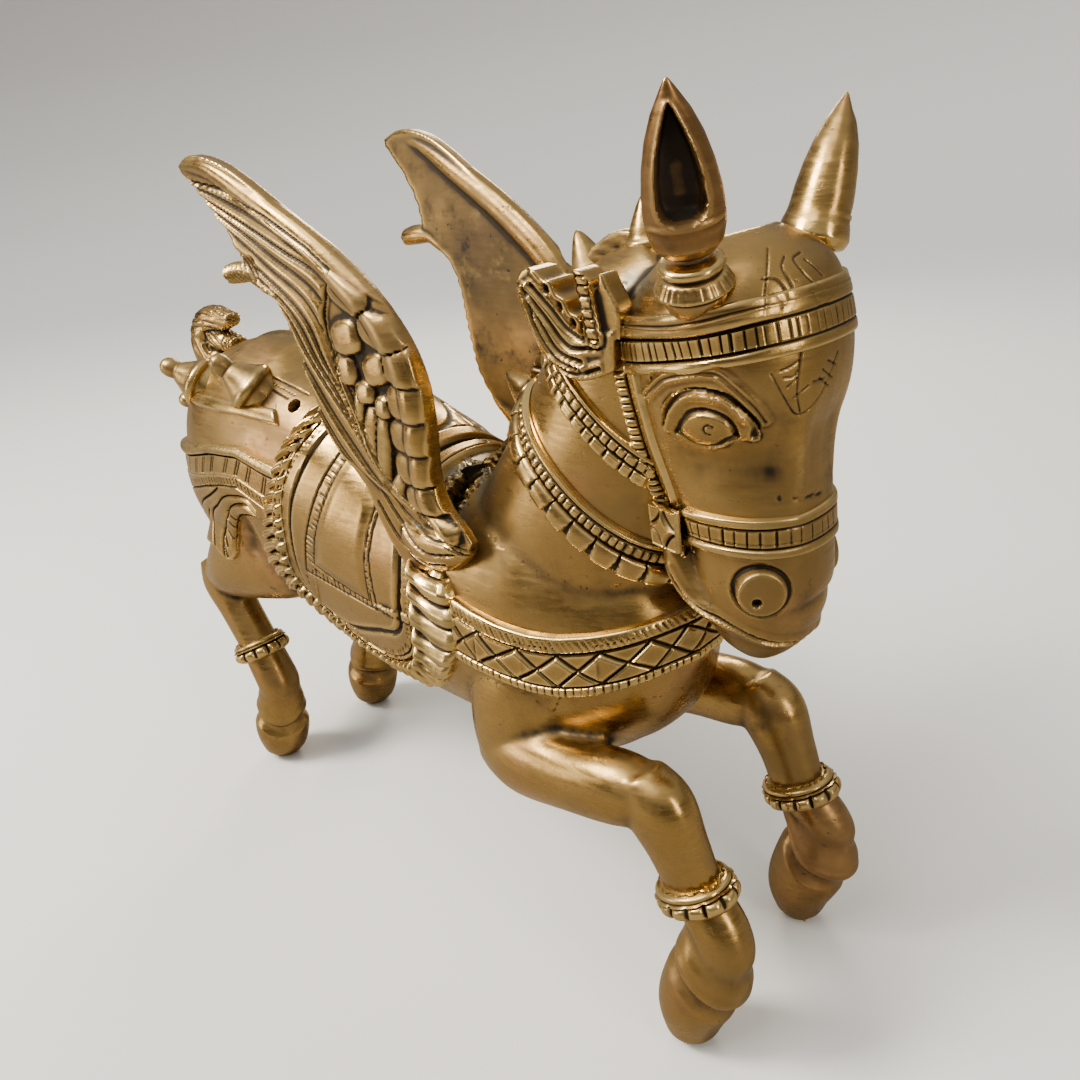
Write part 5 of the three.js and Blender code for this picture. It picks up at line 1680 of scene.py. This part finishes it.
# %% Camera
camera = bpy.data.objects.new("camera", bpy.data.cameras.new("camera"))
bpy.context.scene.collection.objects.link(camera)
ahead = Vector((-0.65018, 0.63722, -0.41379)).normalized()
right_hand = Vector((0.72508, 0.68310, -0.08737))
right_hand = (right_hand - ahead * right_hand.dot(ahead)).normalized()
up = right_hand.cross(ahead)
camera.matrix_world = Matrix.Translation(Vector(to_frame([500.864, -370, 483.187]))) @ Matrix(
    (right_hand, up, -ahead)).transposed().to_4x4()
camera.data.sensor_width = 36
camera.data.lens = 36 * 1000 / 1080
bpy.context.scene.camera = camera

# %% [markdown]
# The horse stood on pale paper that was bent up behind it, so no horizon shows. Here the paper is a disc
# whose rim sweeps up like a bowl. The camera sees it pale, but brass would mirror too much of it, so for
# every other ray it is a darker, warmer tone.

# %% Paper
sweep = [(2600, 0), (3000, 40), (3400, 170), (3700, 400), (3900, 700), (4000, 1100), (4040, 1700)]
floor = fresh("floor", bpy.ops.mesh.primitive_circle_add, vertices=96, radius=2.6, fill_type="NGON")
for (inner, low), (outer, high) in zip(sweep[:-1], sweep[1:]):
    wider = (outer / inner, outer / inner, 1)
    edit(floor, everything, bpy.ops.mesh.region_to_loop,
         lambda: bpy.ops.mesh.extrude_edges_move(
             TRANSFORM_OT_translate={"value": (0, 0, (high - low) / 1000)}),
         lambda: bpy.ops.transform.resize(value=wider, center_override=(0, 0, 0)))
edit(floor, everything, outward)
pick(floor)
bpy.ops.object.shade_smooth()
paper = bpy.data.materials.new("paper")
paper.use_nodes = True
n = Nodes(paper.node_tree)
seen = n.add("ShaderNodeLightPath").outputs["Is Camera Ray"]
n.feed(n.tree.nodes["Principled BSDF"], {
    "Roughness": 0.9, "Base Color": n.mix(seen, (0.3, 0.28, 0.25, 1), (0.84, 0.88, 0.95, 1))})
floor.data.materials.append(paper)

# %% [markdown]
# Brass shows what stands around it, so the studio is built of soft warm panels: the key high on the
# picture's left, a faint one low beside it, a narrow one on the right and one behind. A wide soft sun
# fills the shadows, and the sky is dark at the horizon and bright overhead, as in a room.

# %% Studio light
def lamp(light, place, target, power, tint):
    light.energy = power
    light.color = tint
    stand = bpy.data.objects.new(light.name, light)
    stand.location = place
    stand.rotation_euler = (Vector(target) - Vector(place)).to_track_quat("-Z", "Y").to_euler()
    bpy.context.scene.collection.objects.link(stand)


def panel(name, place, target, size, power, tint):
    light = bpy.data.lights.new(name, "AREA")
    light.shape = "RECTANGLE"
    light.size, light.size_y = size
    lamp(light, place, target, power, tint)


panel("key", (-0.8, -1.0, 1.5), (0, 0, 0.25), (0.55, 0.55), 44, (1, 0.89, 0.72))
panel("left", (-1.25, -1.3, 0.45), (-0.05, 0, 0.25), (0.7, 0.7), 8, (1, 0.89, 0.72))
panel("side", (1.5, -0.2, 0.8), (0, 0, 0.25), (0.25, 0.9), 6, (1, 0.86, 0.66))
panel("back", (-0.9, 1.2, 1.0), (0, 0, 0.25), (0.6, 0.4), 12, (1, 0.86, 0.66))
sun = bpy.data.lights.new("soft_sun", "SUN")
sun.angle = math.radians(40)
lamp(sun, (-0.5, -1.1, 2.2), (0, 0, 0), 1.6, (1, 0.92, 0.78))
world = bpy.data.worlds.new("studio")
bpy.context.scene.world = world
world.use_nodes = True
n = Nodes(world.node_tree)
aim = n.add("ShaderNodeTexCoord").outputs["Generated"]
slope = n.add("ShaderNodeMapRange", {
    "Value": n.add("ShaderNodeSeparateXYZ", {0: aim}).outputs["Z"],
    "From Min": 0.1, "From Max": 0.9, "To Min": 0.1, "To Max": 0.75}).outputs["Result"]
n.feed(n.tree.nodes["Background"], {"Strength": slope, "Color": (1, 0.94, 0.84, 1)})

# %% Clear away the wax
discard(body_wax, head_wax)
